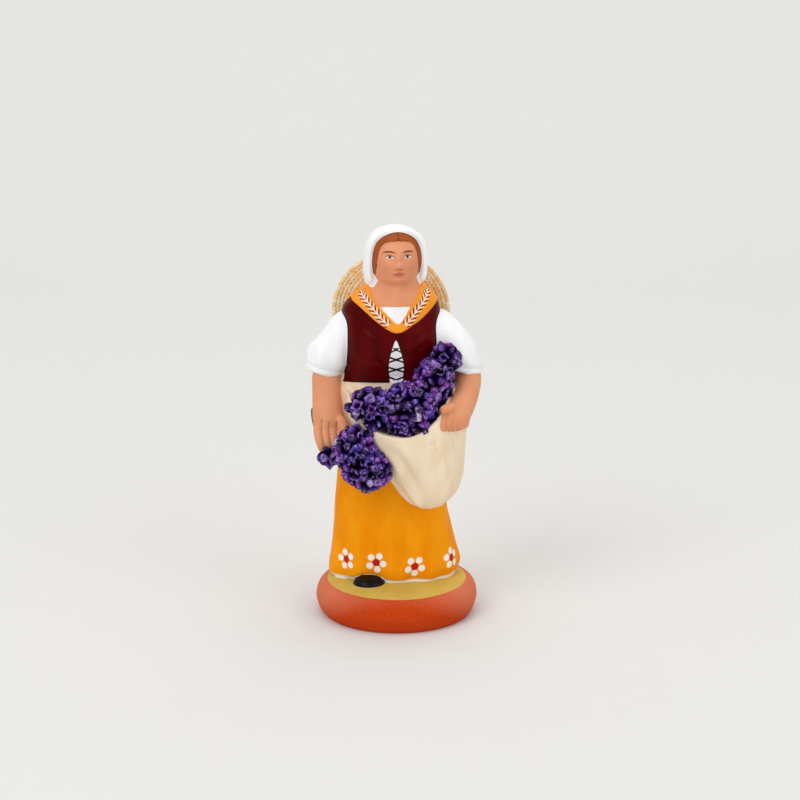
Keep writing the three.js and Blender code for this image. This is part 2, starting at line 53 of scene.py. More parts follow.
figureSizes = {
    "groundHeight": 6.0,  # underside to the painted ground
    "voxel": 0.17,  # the clay's grid before it is thinned
    "faceTarget": 145000,  # triangles left after thinning
    "smoothing": 4,
    "evening": 2,  # evens out the long thin faces that thinning leaves on flat stretches
    "skirtFolds": 11,
    "skirtFoldDepth": 0.3,
    "bodiceLayer": 0.25,
    "fichuLayer": 0.5,
    "apronLayer": 0.35,
    "hairLayer": 0.35,
    "petticoatInset": 0.35,
}


def linear(hexColour):
    channels = [int(hexColour[i:i + 2], 16) / 255 for i in (1, 3, 5)]
    return tuple(c / 12.92 if c <= 0.04045 else ((c + 0.055) / 1.055) ** 2.4 for c in channels) + (1.0,)


def addNode(tree, kind, *values, output=0, inputs=None, **settings):  # gives an output, or else the node
    node = tree.nodes.new(kind)
    for name, value in settings.items():
        setattr(node, name, value)
    for socket, value in [*enumerate(values), *(inputs or {}).items()]:
        if isinstance(value, bpy.types.NodeSocket):
            tree.links.new(value, node.inputs[socket])
        elif value is not None:
            node.inputs[socket].default_value = value
    return node if output is None else node.outputs[output]


# Mesh helpers

def makeObject(name, verts, faces):
    mesh = bpy.data.meshes.new(name)
    mesh.from_pydata([tuple(v) for v in verts], [], [tuple(f) for f in faces])
    obj = bpy.data.objects.new(name, mesh)
    bpy.context.scene.collection.objects.link(obj)
    return obj


def settle(obj):  # turns an object's modifiers into plain mesh
    bpy.context.view_layer.update()
    graph = bpy.context.evaluated_depsgraph_get()
    fresh = bpy.data.meshes.new_from_object(obj.evaluated_get(graph))
    old = obj.data
    obj.modifiers.clear()
    obj.data = fresh
    bpy.data.meshes.remove(old)


def cut(obj, tool, operation="DIFFERENCE"):
    modifier = obj.modifiers.new("cut", "BOOLEAN")
    modifier.object = tool
    modifier.operation = operation
    modifier.solver = "MANIFOLD"
    settle(obj)
    bpy.data.objects.remove(tool)
    return obj


def vertsOf(mesh, value="co"):
    flat = np.empty(len(mesh.vertices) * 3, np.float32)
    mesh.vertices.foreach_get(value, flat)
    return flat.reshape(-1, 3).astype(float)


def setVerts(mesh, verts):
    mesh.vertices.foreach_set("co", verts.astype(np.float32).ravel())
    mesh.update()


def addRemesh(obj, voxel):
    remesh = obj.modifiers.new("remesh", "REMESH")
    remesh.mode = "VOXEL"
    remesh.voxel_size = voxel


def setAttribute(mesh, name, values):
    attribute = mesh.attributes.new(name, "FLOAT", "POINT")
    attribute.data.foreach_set("value", values.astype(np.float32))


def finishPiece(obj, material):
    setVerts(obj.data, vertsOf(obj.data) * mm)
    obj.data.materials.clear()
    obj.data.materials.append(material)


# Curves and noise

def fullTurn(sides):
    return np.linspace(0, 2 * math.pi, sides, endpoint=False)


def along(points, shares):  # the same curve as part.mjs draws through a list of points
    points = np.array(points, float)
    padded = np.vstack([2 * points[0] - points[1], points, 2 * points[-1] - points[-2]])
    spot = np.clip(shares, 0, 1) * (len(points) - 1)
    i = np.minimum(spot.astype(int), len(points) - 2)
    t = (spot - i)[:, None]
    a, b, c, d = (padded[i + k] for k in range(4))
    start, end = (c - a) / 2, (d - b) / 2
    return b + t * start + t ** 2 * (3 * (c - b) - 2 * start - end) + t ** 3 * (2 * (b - c) + start + end)


def squared(value, square):
    return np.sign(value) * np.abs(value) ** (2 / square)


def smoothStep(value, low, high):
    t = np.clip((value - low) / (high - low), 0, 1)
    return t * t * (3 - 2 * t)


def softNoise(points, size, seed):  # smooth, between -1 and 1, with lumps about size across
    lattice = np.random.default_rng(seed).uniform(-1, 1, (32, 32, 32))
    spot = np.asarray(points) / size + 500
    cell = np.floor(spot).astype(int)
    t = spot - cell
    t = t * t * (3 - 2 * t)
    total = 0
    for dx in (0, 1):
        for dy in (0, 1):
            for dz in (0, 1):
                weight = (
                    (t[:, 0] if dx else 1 - t[:, 0])
                    * (t[:, 1] if dy else 1 - t[:, 1])
                    * (t[:, 2] if dz else 1 - t[:, 2])
                )
                corner = (cell + (dx, dy, dz)) % 32
                total = total + weight * lattice[tuple(corner.T)]
    return total


# Closed forms of the clay, each made as part.mjs makes it but finer

def skinFaces(rows, sides):  # of rings from the bottom up, with a point under them and one over them
    j = np.arange(sides)
    k = (j + 1) % sides
    faces = [(0, 1 + b, 1 + a) for a, b in zip(j, k)]
    for row in range(rows - 1):
        low = 1 + row * sides
        faces.extend(np.stack([low + j, low + k, low + sides + k, low + sides + j], 1).tolist())
    top = 1 + (rows - 1) * sides
    faces.extend((top + a, top + b, top + sides) for a, b in zip(j, k))
    return faces


def skin(name, rings, start, end):
    verts = np.vstack([[start], rings.reshape(-1, 3), [end]])
    return makeObject(name, verts, skinFaces(*rings.shape[:2]))


def loft(name, stations, square=2.0, grow=0.0, shift=None, sides=120, rows=90):
    share = np.linspace(0, 1, rows + 1)
    turn = fullTurn(sides)
    table = np.array(stations, float)
    spine = along(table[:, :3], share)
    girth = along(table[:, 3:], share)
    turns, shares = np.meshgrid(turn, share)
    out, up = shift(turns, shares) if shift else (0, 0)
    rings = np.stack([
        spine[:, 1:2] + (girth[:, 0:1] + out + grow) * squared(np.cos(turns), square),
        spine[:, 2:3] + (girth[:, 1:2] + out + grow) * squared(np.sin(turns), square),
        spine[:, 0:1] + up + 0 * turns,
    ], axis=2)
    rings[0, :, 2] -= grow
    rings[-1, :, 2] += grow
    ends = [(spine[i, 1], spine[i, 2], spine[i, 0] + (grow if i else -grow)) for i in (0, -1)]
    return skin(name, rings, *ends)


def limb(name, stations, blunt=4.0, sides=40, rows=48):
    climb = np.arange(1, rows) / rows
    share = (1 - np.cos(math.pi * climb)) / 2
    table = np.array(stations, float)
    centre = along(table[:, :3], share)
    girth = along(table[:, 3:], share)
    step = along(table[:, :3], np.minimum(share + 1e-4, 1)) - along(table[:, :3], np.maximum(share - 1e-4, 0))
    forward = step / np.linalg.norm(step, axis=1)[:, None]
    across = np.cross((0, 1, 0), forward)
    across /= np.linalg.norm(across, axis=1)[:, None]
    over = np.cross(forward, across)
    roundness = np.sqrt(np.maximum(0, 1 - np.abs(2 * share - 1) ** blunt))
    turn = fullTurn(sides)
    rings = (
        centre[:, None]
        + (roundness * girth[:, 0])[:, None, None] * across[:, None] * np.cos(turn)[None, :, None]
        + (roundness * girth[:, 1])[:, None, None] * over[:, None] * np.sin(turn)[None, :, None]
    )
    return skin(name, rings, table[0, :3], table[-1, :3])


def ball(name, at, half, sides=48, rows=32, grow=0.0):
    climb = np.arange(1, rows) / rows
    turn = fullTurn(sides)
    turns, climbs = np.meshgrid(turn, climb)
    reach = np.array(half) + grow
    rings = np.stack([
        at[0] + reach[0] * np.sin(math.pi * climbs) * np.cos(turns),
        at[1] + reach[1] * np.sin(math.pi * climbs) * np.sin(turns),
        at[2] - reach[2] * np.cos(math.pi * climbs),
    ], axis=2)
    return skin(name, rings, (at[0], at[1], at[2] - reach[2]), (at[0], at[1], at[2] + reach[2]))


def block(outline, low, high, axis=1):  # an outline of (x, z) points, or (y, z) for axis 0, made a slab
    points = np.array(outline, float)
    area = np.sum(points[:, 0] * np.roll(points[:, 1], -1) - np.roll(points[:, 0], -1) * points[:, 1])
    if (area > 0) == (axis == 0):
        points = points[::-1]
    n = len(points)
    verts = [(a, depth, z) if axis == 1 else (depth, a, z) for depth in (low, high) for a, z in points]
    faces = [tuple(reversed(range(n))), tuple(range(n, 2 * n))]
    faces.extend((i, (i + 1) % n, n + (i + 1) % n, n + i) for i in range(n))
    tool = makeObject("tool", verts, faces)
    shell = bmesh.new()
    shell.from_mesh(tool.data)
    bmesh.ops.recalc_face_normals(shell, faces=shell.faces)
    shell.to_mesh(tool.data)
    shell.free()
    return tool


def smoothLine(points, steps):
    return [tuple(point) for point in along(points, np.linspace(0, 1, steps + 1))]


# Body and dress

torsoStations = [
    (34.0, -0.8, 0.8, 8.0, 5.4), (37.5, -0.8, 0.6, 8.0, 5.2), (41.0, -0.8, 0.2, 8.1, 5.8),
    (44.5, -0.8, -0.1, 8.0, 6.1), (47.5, -0.9, 0.1, 8.0, 5.6), (49.4, -1.0, 0.3, 8.2, 5.2),
    (51.0, -0.7, 0.2, 7.4, 4.8), (52.4, -0.4, 0.1, 6.0, 4.1), (53.7, -0.3, 0.1, 4.6, 3.6),
    (55.5, -0.2, 0.2, 3.9, 3.2), (57.0, -0.1, 0.2, 3.4, 3.0),
]
skirtStations = [
    (1.0, -0.8, 1.9, 11.5, 6.9), (2.8, -0.5, 2.0, 11.75, 7.3), (6.1, -0.65, 2.0, 11.05, 7.1),
    (10.0, -0.9, 1.9, 10.4, 6.9), (13.3, -1.15, 1.8, 9.95, 6.7), (19.2, -1.1, 1.6, 9.5, 6.7),
    (27.0, -1.0, 1.2, 9.3, 6.6), (32.0, -0.9, 0.9, 9.1, 6.2), (36.0, -0.8, 0.6, 8.2, 5.4),
    (38.0, -0.8, 0.5, 7.7, 5.0),
]
# the bodice laps over the skirt's top
bodiceStations = [(34.0, -0.8, 0.8, 10.2, 7.4), (37.5, -0.8, 0.6, 8.25, 5.45), *torsoStations[2:]]
hemLift = {"x": -4.9, "width": 2.7, "height": 0.95}
bodiceHem = {"front": (-6.5, 37.6), "sides": (0, 36.3)}  # (y, height) of its lower edge
lacingOutline = [
    (-1.2, 35), (-1.2, 37), (-1.45, 40.1), (-1.0, 42.8), (-0.1, 45.2), (0.85, 42.8), (1.35, 40.1), (1.1, 37),
    (1.1, 35),
]
neckOpening = [(-9, 56), (-6.4, 51), (-3.6, 49), (0.1, 46.9), (3.6, 49), (6, 51), (8, 56)]
fichuFront = [
    (-9.6, 57), (-9.0, 52.7), (-7.9, 51.5), (-6.4, 50.6), (-5.0, 49.5), (-2.9, 47.9), (0.1, 46.4),
    (3.1, 47.8), (5.1, 49.2), (6.4, 50.4), (7.4, 51.8), (9, 57),
]
fichuNeckline = [
    (-5.6, 57), (-4.4, 52.4), (-3.1, 50.6), (-1.8, 49.3), (0.1, 47.6), (1.3, 48.5), (2.4, 50.3), (3.9, 52.7),
    (5.2, 57),
]
fichuBack = [(-9.2, 57), (-8.6, 50.2), (-0.7, 40.5), (7.4, 50.6), (9, 57)]
collarTop = 54.4
apronOutline = [
    (-10.4, 37.9), (-10.6, 33), (-9.2, 29.4), (-5.6, 25), (-2.3, 21.2), (0.6, 18.1), (3.2, 15.9), (5.5, 15),
    (7.9, 15.7), (9.7, 16.9), (11.0, 19.6), (11.4, 24), (11.6, 30), (11, 37.9),
]
apronSides = [(2.1, 39), (-3.2, 12)]  # (y, height): its side edges slant forward down to the pouch
pouchStations = [
    (14.8, 5.6, -4.4, 1.6, 2.0), (15.7, 5.5, -4.3, 3.4, 3.1), (17.2, 5.5, -4.1, 4.8, 4.1),
    (19.2, 5.2, -3.9, 5.9, 4.9), (22.0, 4.4, -3.9, 7.3, 5.9), (25.0, 3.5, -3.9, 8.5, 6.8),
    (28.0, 2.6, -3.9, 9.6, 7.5), (31.0, 1.9, -3.9, 10.2, 7.7), (34.0, 1.2, -3.8, 9.9, 7.1),
    (36.5, 1.0, -3.4, 9.2, 5.8),
]
pouchMouth = {"x": 0.3, "z": 39.5, "halfWidth": 9.4, "halfHeight": 10.5}


def torso(name, grow):
    return loft(name, torsoStations, square=2.2, grow=grow)


def skirtShift(turn, share):
    low = 1 - share
    depth = figureSizes["skirtFoldDepth"] * low * (0.3 + 0.7 * np.sin(turn) ** 2)  # shallow at the sides
    fold = depth * np.cos(figureSizes["skirtFolds"] * turn + 2 * np.sin(turn))
    x = skirtStations[0][1] + skirtStations[0][3] * np.cos(turn)
    atShoe = np.exp(-((x - hemLift["x"]) / hemLift["width"]) ** 2)
    return fold, hemLift["height"] * atShoe * np.maximum(0, -np.sin(turn)) * low ** 8


def skirt(name, grow):
    return loft(name, skirtStations, square=2.2, grow=grow, shift=skirtShift, sides=200)


def petticoat():
    _, x, y, w, d = skirtStations[0]
    inset = figureSizes["petticoatInset"]

    def lifted(turn, share):
        return tuple(0.8 * move for move in skirtShift(turn, 0 * share))

    edgeStations = [(z, x, y, w - inset, d - inset) for z in (0.6, 2.2)]
    coreStations = [(z, x, y, w - 3 * inset, d - 3 * inset) for z in (-2, 2.2)]
    edge = loft("petticoat", edgeStations, square=2.2, shift=lifted, sides=200, rows=4)
    core = loft("petticoatCore", coreStations, square=2.2, rows=4)
    return [edge, core]


def bodice():
    cloth = loft("bodice", bodiceStations, square=2.2, grow=figureSizes["bodiceLayer"])
    front, sides = bodiceHem["front"], bodiceHem["sides"]
    below = [front, sides, (far, sides[1]), (far, 0), (-far, 0), (-far, front[1])]
    cut(cloth, block(below, -far, far, axis=0))
    cut(cloth, block(smoothLine(lacingOutline, 48), -far, 0))
    return cut(cloth, block(neckOpening, -far, far))


def fichu():
    front = torso("fichuFront", figureSizes["fichuLayer"])
    cut(front, block(smoothLine(fichuFront, 80), -far, 0), "INTERSECT")
    cut(front, block(smoothLine(fichuNeckline, 80), -far, 0.1))
    back = torso("fichuBack", figureSizes["fichuLayer"])
    cut(back, block(fichuBack, -0.1, far), "INTERSECT")
    for cloth in (front, back):
        cut(cloth, block([(-far, collarTop), (far, collarTop), (far, 2 * far), (-far, 2 * far)], -far, far))
    return [front, back]


# Head

head = {
    "at": (0, -0.6, 58.6),
    "half": (4.25, 4.75, 5.2),
    "jawFullness": 2.6,
    "turn": 8,
    "tilt": 5,
    "shift": -0.3,
}
headTurning = np.array(Euler((-math.radians(head["tilt"]), 0, math.radians(head["turn"]))).to_matrix())
faceOutline = [
    (-0.87, -1.4), (-0.87, -0.7), (-0.85, -0.04), (-0.72, 0.37), (-0.47, 0.56), (-0.06, 0.6), (0, 0.68),
    (0.06, 0.6), (0.47, 0.56), (0.72, 0.37), (0.85, -0.04), (0.87, -0.7), (0.87, -1.4),
]
# x, height over the head's middle, spread sideways, spread in height, how far forward
faceForms = [
    (0, -1.25, 0.6, 0.5, 0.62), (0, 0, 0.45, 1.1, 0.42),  # nose and its bridge
    (-0.5, -1.5, 0.28, 0.25, 0.28), (0.5, -1.5, 0.28, 0.25, 0.28),
    (-1.6, 0.5, 0.85, 0.45, -0.32), (1.6, 0.5, 0.85, 0.45, -0.32),  # eye sockets, eyes and brows
    (-1.6, 0.38, 0.6, 0.26, 0.2), (1.6, 0.38, 0.6, 0.26, 0.2),
    (-1.6, 1.35, 1.0, 0.3, 0.12), (1.6, 1.35, 1.0, 0.3, 0.12),
    (-2.1, -1.4, 1.2, 1.0, 0.25), (2.1, -1.4, 1.2, 1.0, 0.25),  # cheeks
    (0, -1.95, 0.2, 0.3, -0.07), (0, -2.6, 1.0, 0.5, 0.22), (0, -2.38, 0.75, 0.16, 0.12),  # mouth
    (0, -2.85, 0.7, 0.2, 0.16), (0, -3.25, 0.9, 0.22, -0.1),
    (0, -3.85, 1.0, 0.6, 0.45),  # chin
]


def turnedHead(obj):
    verts = vertsOf(obj.data) - (0, 0, head["at"][2])
    setVerts(obj.data, verts @ headTurning.T + (head["shift"], 0, head["at"][2]))
    return obj


def toHead(points):  # a point in the upright head's own place, from its middle
    local = (points - (head["shift"], 0, head["at"][2])) @ headTurning
    return local - (head["at"][0], 0, 0)


def face():
    rows, sides = 150, 240
    climb = np.arange(1, rows) / rows
    turn = fullTurn(sides)
    turns, climbs = np.meshgrid(turn - 0.5 * np.cos(turn), climb)
    rise = -np.cos(math.pi * climbs)
    full = np.where(rise < 0, head["jawFullness"], 2)
    ring = (1 - np.abs(rise) ** full) ** (1 / full)
    x = head["half"][0] * ring * np.cos(turns)
    z = head["half"][2] * rise
    y = head["at"][1] + head["half"][1] * ring * np.sin(turns)
    front = np.sin(turns) < 0
    for fx, fz, wide, tall, forward in faceForms:
        y = y - front * forward * ring * np.exp(-((x - fx) / wide) ** 2 - ((z - fz) / tall) ** 2)
    rings = np.stack([x + head["at"][0], y, z + head["at"][2]], axis=2)
    middle = np.array(head["at"])
    return skin("face", rings, middle - (0, 0, head["half"][2]), middle + (0, 0, head["half"][2]))


def hair():
    shell = ball("hair", head["at"], head["half"], sides=96, rows=72, grow=figureSizes["hairLayer"])
    behindRim = [coifRim["top"], (far, coifRim["top"][1]), (far, coifRim["bottom"][1]), coifRim["bottom"]]
    cut(shell, block([(y + 0.5, z) for y, z in behindRim], -far, far, axis=0))
    outline = [
        (head["at"][0] + head["half"][0] * x, head["at"][2] + head["half"][2] * z)
        for x, z in smoothLine(faceOutline, 48)
    ]
    return cut(shell, block(outline, -far, head["at"][1]))


coifStations = [
    (53.2, 0, 0.9, 4.9, 3.9), (55.0, 0, 0.9, 5.3, 4.6), (57.5, 0, 0.8, 5.45, 5.0), (60.0, 0, 0.6, 5.25, 5.0),
    (62.0, 0, 0.2, 4.4, 4.5), (63.3, 0, -0.2, 3.0, 3.5), (64.0, 0, -0.4, 0.9, 1.2),
]
coifRim = {"top": (-2.9, 64.5), "bottom": (-1.3, 52.5)}
# the rolled edge round the face, from one lappet over the head: x, y, height
coifRoll = [
    (-4.4, -1.2, 54.3), (-4.75, -1.6, 55.6), (-4.85, -2.0, 58.0), (-4.5, -2.4, 60.6), (-3.2, -2.7, 62.5),
    (0, -2.9, 63.35),
]


def coif():
    shell = loft("coif", coifStations)
    side = [coifRim["top"], (-far, coifRim["top"][1]), (-far, coifRim["bottom"][1]), coifRim["bottom"]]
    cut(shell, block(side, -far, far, axis=0))
    arch = coifRoll + [(-x, y, z) for x, y, z in reversed(coifRoll[:-1])]
    roll = limb("coifRoll", [place + (0.62, 0.8) for place in arch], blunt=20, sides=24, rows=160)
    return [shell, roll]


# Arms

cuffs = {"left": [(-18, 39.3), (-8, 37.0)], "right": [(8, 39.5), (17, 37.3)]}


def sleeves():
    left = limb("sleeveLeft", [
        (-7.1, 0.5, 49.0, 2.2, 2.4), (-8.7, 0.4, 45.9, 3.0, 3.3), (-11.0, 0.1, 42.0, 3.55, 3.7),
        (-12.15, -0.3, 39.8, 3.7, 3.7), (-12.1, -0.7, 36.4, 2.7, 3.0),
    ], blunt=7, sides=80, rows=80)
    right = limb("sleeveRight", [
        (5.8, 0.5, 48.8, 2.3, 2.4), (7.3, 0.4, 45.8, 3.2, 3.3), (9.9, 0.1, 41.8, 3.7, 3.7),
        (11.6, -0.3, 39.2, 3.6, 3.6), (12.1, -0.6, 36.2, 3.0, 3.1),
    ], blunt=7, sides=80, rows=80)
    for sleeve, line in ((left, cuffs["left"]), (right, cuffs["right"])):
        cut(sleeve, block(line + [(line[1][0], 0), (line[0][0], 0)], -far, far))
    return [left, right]


rightPalm = (-11.8, -4.0, 29.6)
fingerCount = 4  # of each hand, besides the thumb


def fingers():  # the four that hang over the bunch, then the four that hold up the apron's edge
    hanging = [
        limb("finger", [
            (-13.55 + 1.22 * i, -3.9, 30.4, 0.7, 0.75), (-13.7 + 1.3 * i, -5.1, 28.6, 0.78, 0.84),
            (-13.3 + 1.22 * i, -6.2, 26.8, 0.74, 0.78), (-12.75 + 1.1 * i, -6.7, 24.9, 0.58, 0.65),
        ], blunt=6)
        for i in range(fingerCount)
    ]
    curled = [
        limb("finger", [
            (8.15 + 1.02 * i, -9.3 + 0.3 * i, 32.6 + 0.1 * i, 0.72, 0.8),
            (8.05 + 0.98 * i, -10.1 + 0.3 * i, 31.0 + 0.05 * i, 0.7, 0.76),
            (7.9 + 0.95 * i, -9.5 + 0.35 * i, 29.9 - 0.05 * i, 0.64, 0.7),
        ], blunt=6)
        for i in range(fingerCount)
    ]
    return hanging + curled


def arms():
    return [
        limb("forearmRight", [
            (-12.15, -0.5, 39.4, 2.75, 2.7), (-12.2, -1.0, 36.6, 2.6, 2.5), (-12.2, -2.1, 33.4, 2.5, 2.3),
            (-12.0, -3.4, 30.6, 2.7, 2.0), (-11.9, -4.0, 28.4, 2.6, 1.8),
        ], blunt=6),
        ball("palm", rightPalm, (2.75, 1.7, 2.5)),
        limb("thumb", [
            (-10.2, -4.2, 31.0, 1.1, 1.2), (-9.2, -5.6, 29.2, 0.95, 0.95), (-8.6, -6.4, 27.6, 0.8, 0.8),
        ]),
        limb("forearmLeft", [
            (12.4, -0.3, 39.6, 2.5, 2.6), (12.35, -1.8, 36.6, 2.4, 2.5), (11.6, -4.6, 34.3, 2.45, 2.4),
            (10.5, -7.0, 32.7, 2.6, 2.4), (9.6, -8.3, 31.8, 2.5, 2.2),
        ], blunt=6),
        ball("backOfHand", (9.9, -7.9, 32.0), (2.9, 2.35, 2.6)),
        ball("heelOfHand", (11.1, -7.4, 30.7), (1.5, 1.8, 1.25)),
        limb("thumb", [
            (10.6, -8.6, 33.8, 1.0, 0.95), (8.8, -9.6, 33.8, 0.9, 0.85), (7.4, -9.9, 33.3, 0.75, 0.7),
        ]),
    ]


def clayWebs():  # the clay left between the arms and the body
    left = [(-10.6, 0.8, 41, 2.6, 2.2), (-11.2, -0.4, 32, 3.2, 2.2), (-10.5, -2.2, 25.2, 2.5, 1.6)]
    right = [(9.4, 0.8, 40.5, 2.6, 2.2), (9.7, 0, 36, 2.8, 2.2), (9.0, -0.6, 30.5, 2.0, 1.8)]
    return [limb("web", left, blunt=3), limb("web", right, blunt=3)]


def stalks():  # the bunch's stalks, which run up behind the hand
    return [
        limb("stalk", [
            (-12.0 - 0.4 * i, -3.0 + 0.25 * i, 26.0, 0.33, 0.33), (-12.95 - 0.4 * i, -1.9, 29.6, 0.33, 0.33),
            (-13.1 - 0.4 * i, -1.1, 31.8 - 0.4 * (i % 2), 0.33, 0.33),
        ], blunt=8, sides=16)
        for i in range(5)
    ]


# Apron

def apronPanel():
    panel = skirt("apronPanel", figureSizes["apronLayer"])
    cut(panel, block(smoothLine(apronOutline, 80), -far, far), "INTERSECT")
    return cut(panel, block([apronSides[0], (far, 39), (far, 0), apronSides[1]], -far, far, axis=0))


def pouch():
    body = loft("pouch", pouchStations, square=2.1, sides=160,
                shift=lambda turn, share: (0.3 * (1 - share) * np.cos(9 * turn + 3 * share), 0))
    bow = fullTurn(96)
    wide, tall = pouchMouth["halfWidth"], pouchMouth["halfHeight"]
    outline = [(pouchMouth["x"] + wide * math.cos(a), pouchMouth["z"] + tall * math.sin(a)) for a in bow]
    return cut(body, block(outline, -far, 0))


# Base

baseSizes = {
    "radius": 14.3,
    "footRadius": 13.1,
    "groundRadius": 12.5,
    "groundRise": 0.5,
    "dustAndLightDrop": 7.0,  # how much lower the pale tone, dust and painted light, begins at the two sides
}


def base():
    height = figureSizes["groundHeight"]
    middle = height / 2
    r, foot, top, rise = (baseSizes[name] for name in ("radius", "footRadius", "groundRadius", "groundRise"))
    profile = [
        (foot, 0), ((foot + r) / 2, middle * 0.3), (r, middle * 0.85), (r, middle * 1.15),
        (r - 0.35, middle * 1.6), (top + 0.55, height - 0.25), (top - 0.2, height),
        (top * 0.8, height + rise * 0.6), (top * 0.35, height + rise * 0.93),
    ]
    line = along(profile, np.linspace(0, 1, 70))
    turn = fullTurn(180)
    rings = np.stack([
        line[:, 0:1] * np.cos(turn), line[:, 0:1] * np.sin(turn), line[:, 1:2] - height + 0 * turn,
    ], axis=2)
    return skin("base", rings, (0, 0, -height), (0, 0, rise))


# Every form by the paint that covers it
forms = {
    "torso": [torso("torso", 0)],
    "bodice": [bodice()],
    "fichu": fichu(),
    "skirt": [skirt("skirt", 0)],
    "petticoat": petticoat(),
    "shoe": [ball("shoe", (-4.9, -4.9, 0.6), (2.75, 2.5, 1.3))],
    "face": [turnedHead(face())],
    "hair": [turnedHead(hair())],
    "coif": [turnedHead(piece) for piece in coif()],
    "sleeves": sleeves(),
    "arms": arms() + fingers(),
    "webs": clayWebs(),
    "stalk": stalks(),
    "apron": [apronPanel(), pouch()],
    "base": [base()],
}
print("forms made:", sum(len(pieces) for pieces in forms.values()))


def merged(parts):  # points and faces of several forms, as one list of each
    verts, faces, count = [], [], 0
    for own, polygons in parts:
        verts.append(own)
        faces.extend([tuple(count + i for i in polygon) for polygon in polygons])
        count += len(own)
    return np.vstack(verts), faces


def joined(pieces):
    return merged([(vertsOf(obj.data), [p.vertices for p in obj.data.polygons]) for obj in pieces])


groups = {name: joined(pieces) for name, pieces in forms.items()}
trees = {name: BVHTree.FromPolygons(verts.tolist(), faces) for name, (verts, faces) in groups.items()}
fingerForms = [joined([obj]) for obj in forms["arms"] if obj.name.startswith("finger")]
fingerTrees = [BVHTree.FromPolygons(verts.tolist(), faces) for verts, faces in fingerForms]
for pieces in forms.values():
    for obj in pieces:
        bpy.data.objects.remove(obj)


def distanceTo(tree, points, reach=3.0):
    result = np.full(len(points), reach)
    for i, point in enumerate(points.tolist()):
        hit = tree.find_nearest(point, reach)
        if hit[3] is not None:
            result[i] = hit[3]
    return result


# The casting: all forms sunk into one skin, with the soft joins of pressed clay

def soften(obj, iterations):
    relax = obj.modifiers.new("relax", "SMOOTH")
    relax.factor = 0.5
    relax.iterations = iterations
    settle(obj)


def castFigure():
    obj = makeObject("paintedFigure", *merged(groups.values()))
    addRemesh(obj, figureSizes["voxel"])
    soften(obj, figureSizes["smoothing"])
    full = sum(len(polygon.vertices) - 2 for polygon in obj.data.polygons)
    thin = obj.modifiers.new("thin", "DECIMATE")
    thin.ratio = min(1, figureSizes["faceTarget"] / full)
    settle(obj)
    soften(obj, figureSizes["evening"])
    return obj


figure = castFigure()
print("figure cast:", len(figure.data.vertices), "points")

finerBox = [(-3.4, -far, -4.4), (3.4, -2.6, 2.6)]  # of the head, where the skin is made finer


def refineFace(obj):
    shell = bmesh.new()
    shell.from_mesh(obj.data)
    for _ in range(2):
        spots = toHead(np.array([vert.co for vert in shell.verts]))
        within = np.all((spots > finerBox[0]) & (spots < finerBox[1]), axis=1)
        edges = [edge for edge in shell.edges if all(within[vert.index] for vert in edge.verts)]
        bmesh.ops.subdivide_edges(shell, edges=edges, cuts=1, use_grid_fill=True)
        bmesh.ops.triangulate(shell, faces=[f for f in shell.faces if len(f.verts) > 3])
        shell.verts.index_update()
    shell.to_mesh(obj.data)
    shell.free()


refineFace(figure)
print("face refined:", len(figure.data.polygons), "triangles")

points = vertsOf(figure.data)
reach = {name: distanceTo(tree, points) for name, tree in trees.items()}

# How far inside its own paint each point is, and less than 0 outside it
stacked = np.stack(list(reach.values()))
inside = {}
for row, name in enumerate(reach):
    others = np.min(np.delete(stacked, row, axis=0), axis=0)
    inside[name] = others - stacked[row]
print("paint areas found")

local = toHead(points)


def snapFace(verts):
    weight = smoothStep(inside["face"], 0.15, 0.5) * (local[:, 1] < -1.5)
    for i in np.nonzero(weight > 0)[0]:
        spot = trees["face"].find_nearest(verts[i].tolist())[0]
        verts[i] += weight[i] * (np.array(spot) - verts[i])
    return verts


setVerts(figure.data, snapFace(points.copy()))
points = vertsOf(figure.data)
normals = vertsOf(figure.data, "normal")

relief = {
    "handWork": 0.022,  # the modeller's unevenness all over
    "sleeveFold": 0.3,
    "apronFold": 0.2,
    "skirtFold": 0.3,
    "bodiceFold": 0.16,
    "hairStrand": 0.05,
    "coifPleat": 0.05,
    "baseDent": 0.09,
    # height or depth, how far from the fingers' meeting or the sleeve's edge, and width
    "fingerGroove": (0.14, 0, 0.16),
    "cuffRoll": (0.16, 0.35, 0.35),
    "cuffGroove": (0.18, 1.05, 0.28),
}
# the apron's creases in the front view: points (x, height), width, depth
apronCreases = [
    ([(7.9, 29.4), (8.7, 26.2), (9.1, 22.8), (8.6, 18.8)], 0.5, 0.4),
    ([(6.9, 29.6), (6.6, 27.4), (6.8, 25.6)], 0.35, 0.3),
    ([(3.9, 28.6), (5.6, 23.4), (6.4, 18.4)], 0.9, 0.32),
    ([(-1.2, 27.8), (1.4, 23.6), (3.6, 18.9)], 0.8, 0.3),
    ([(-6.0, 29.8), (-3.9, 26.4), (-1.0, 22.4)], 0.7, 0.24),
    ([(-9.0, 36.6), (-6.5, 34.6), (-4.2, 33.6)], 0.5, 0.26),
]
# the bodice's puckers, pulled towards the lacing
bodicePuckers = [
    ([(-6.6, 44.6), (-4.4, 43.9), (-2.2, 42.3)], 0.35, 0.26),
    ([(-6.9, 41.6), (-4.6, 41.2), (-2.0, 40.6)], 0.4, 0.22),
    ([(6.0, 46.4), (4.0, 45.4), (2.0, 43.9)], 0.35, 0.26),
    ([(5.6, 44.4), (3.6, 43.2), (1.9, 42.0)], 0.3, 0.22),
    ([(-6.4, 47.4), (-4.6, 46.4), (-3.2, 45.2)], 0.4, 0.2),
]


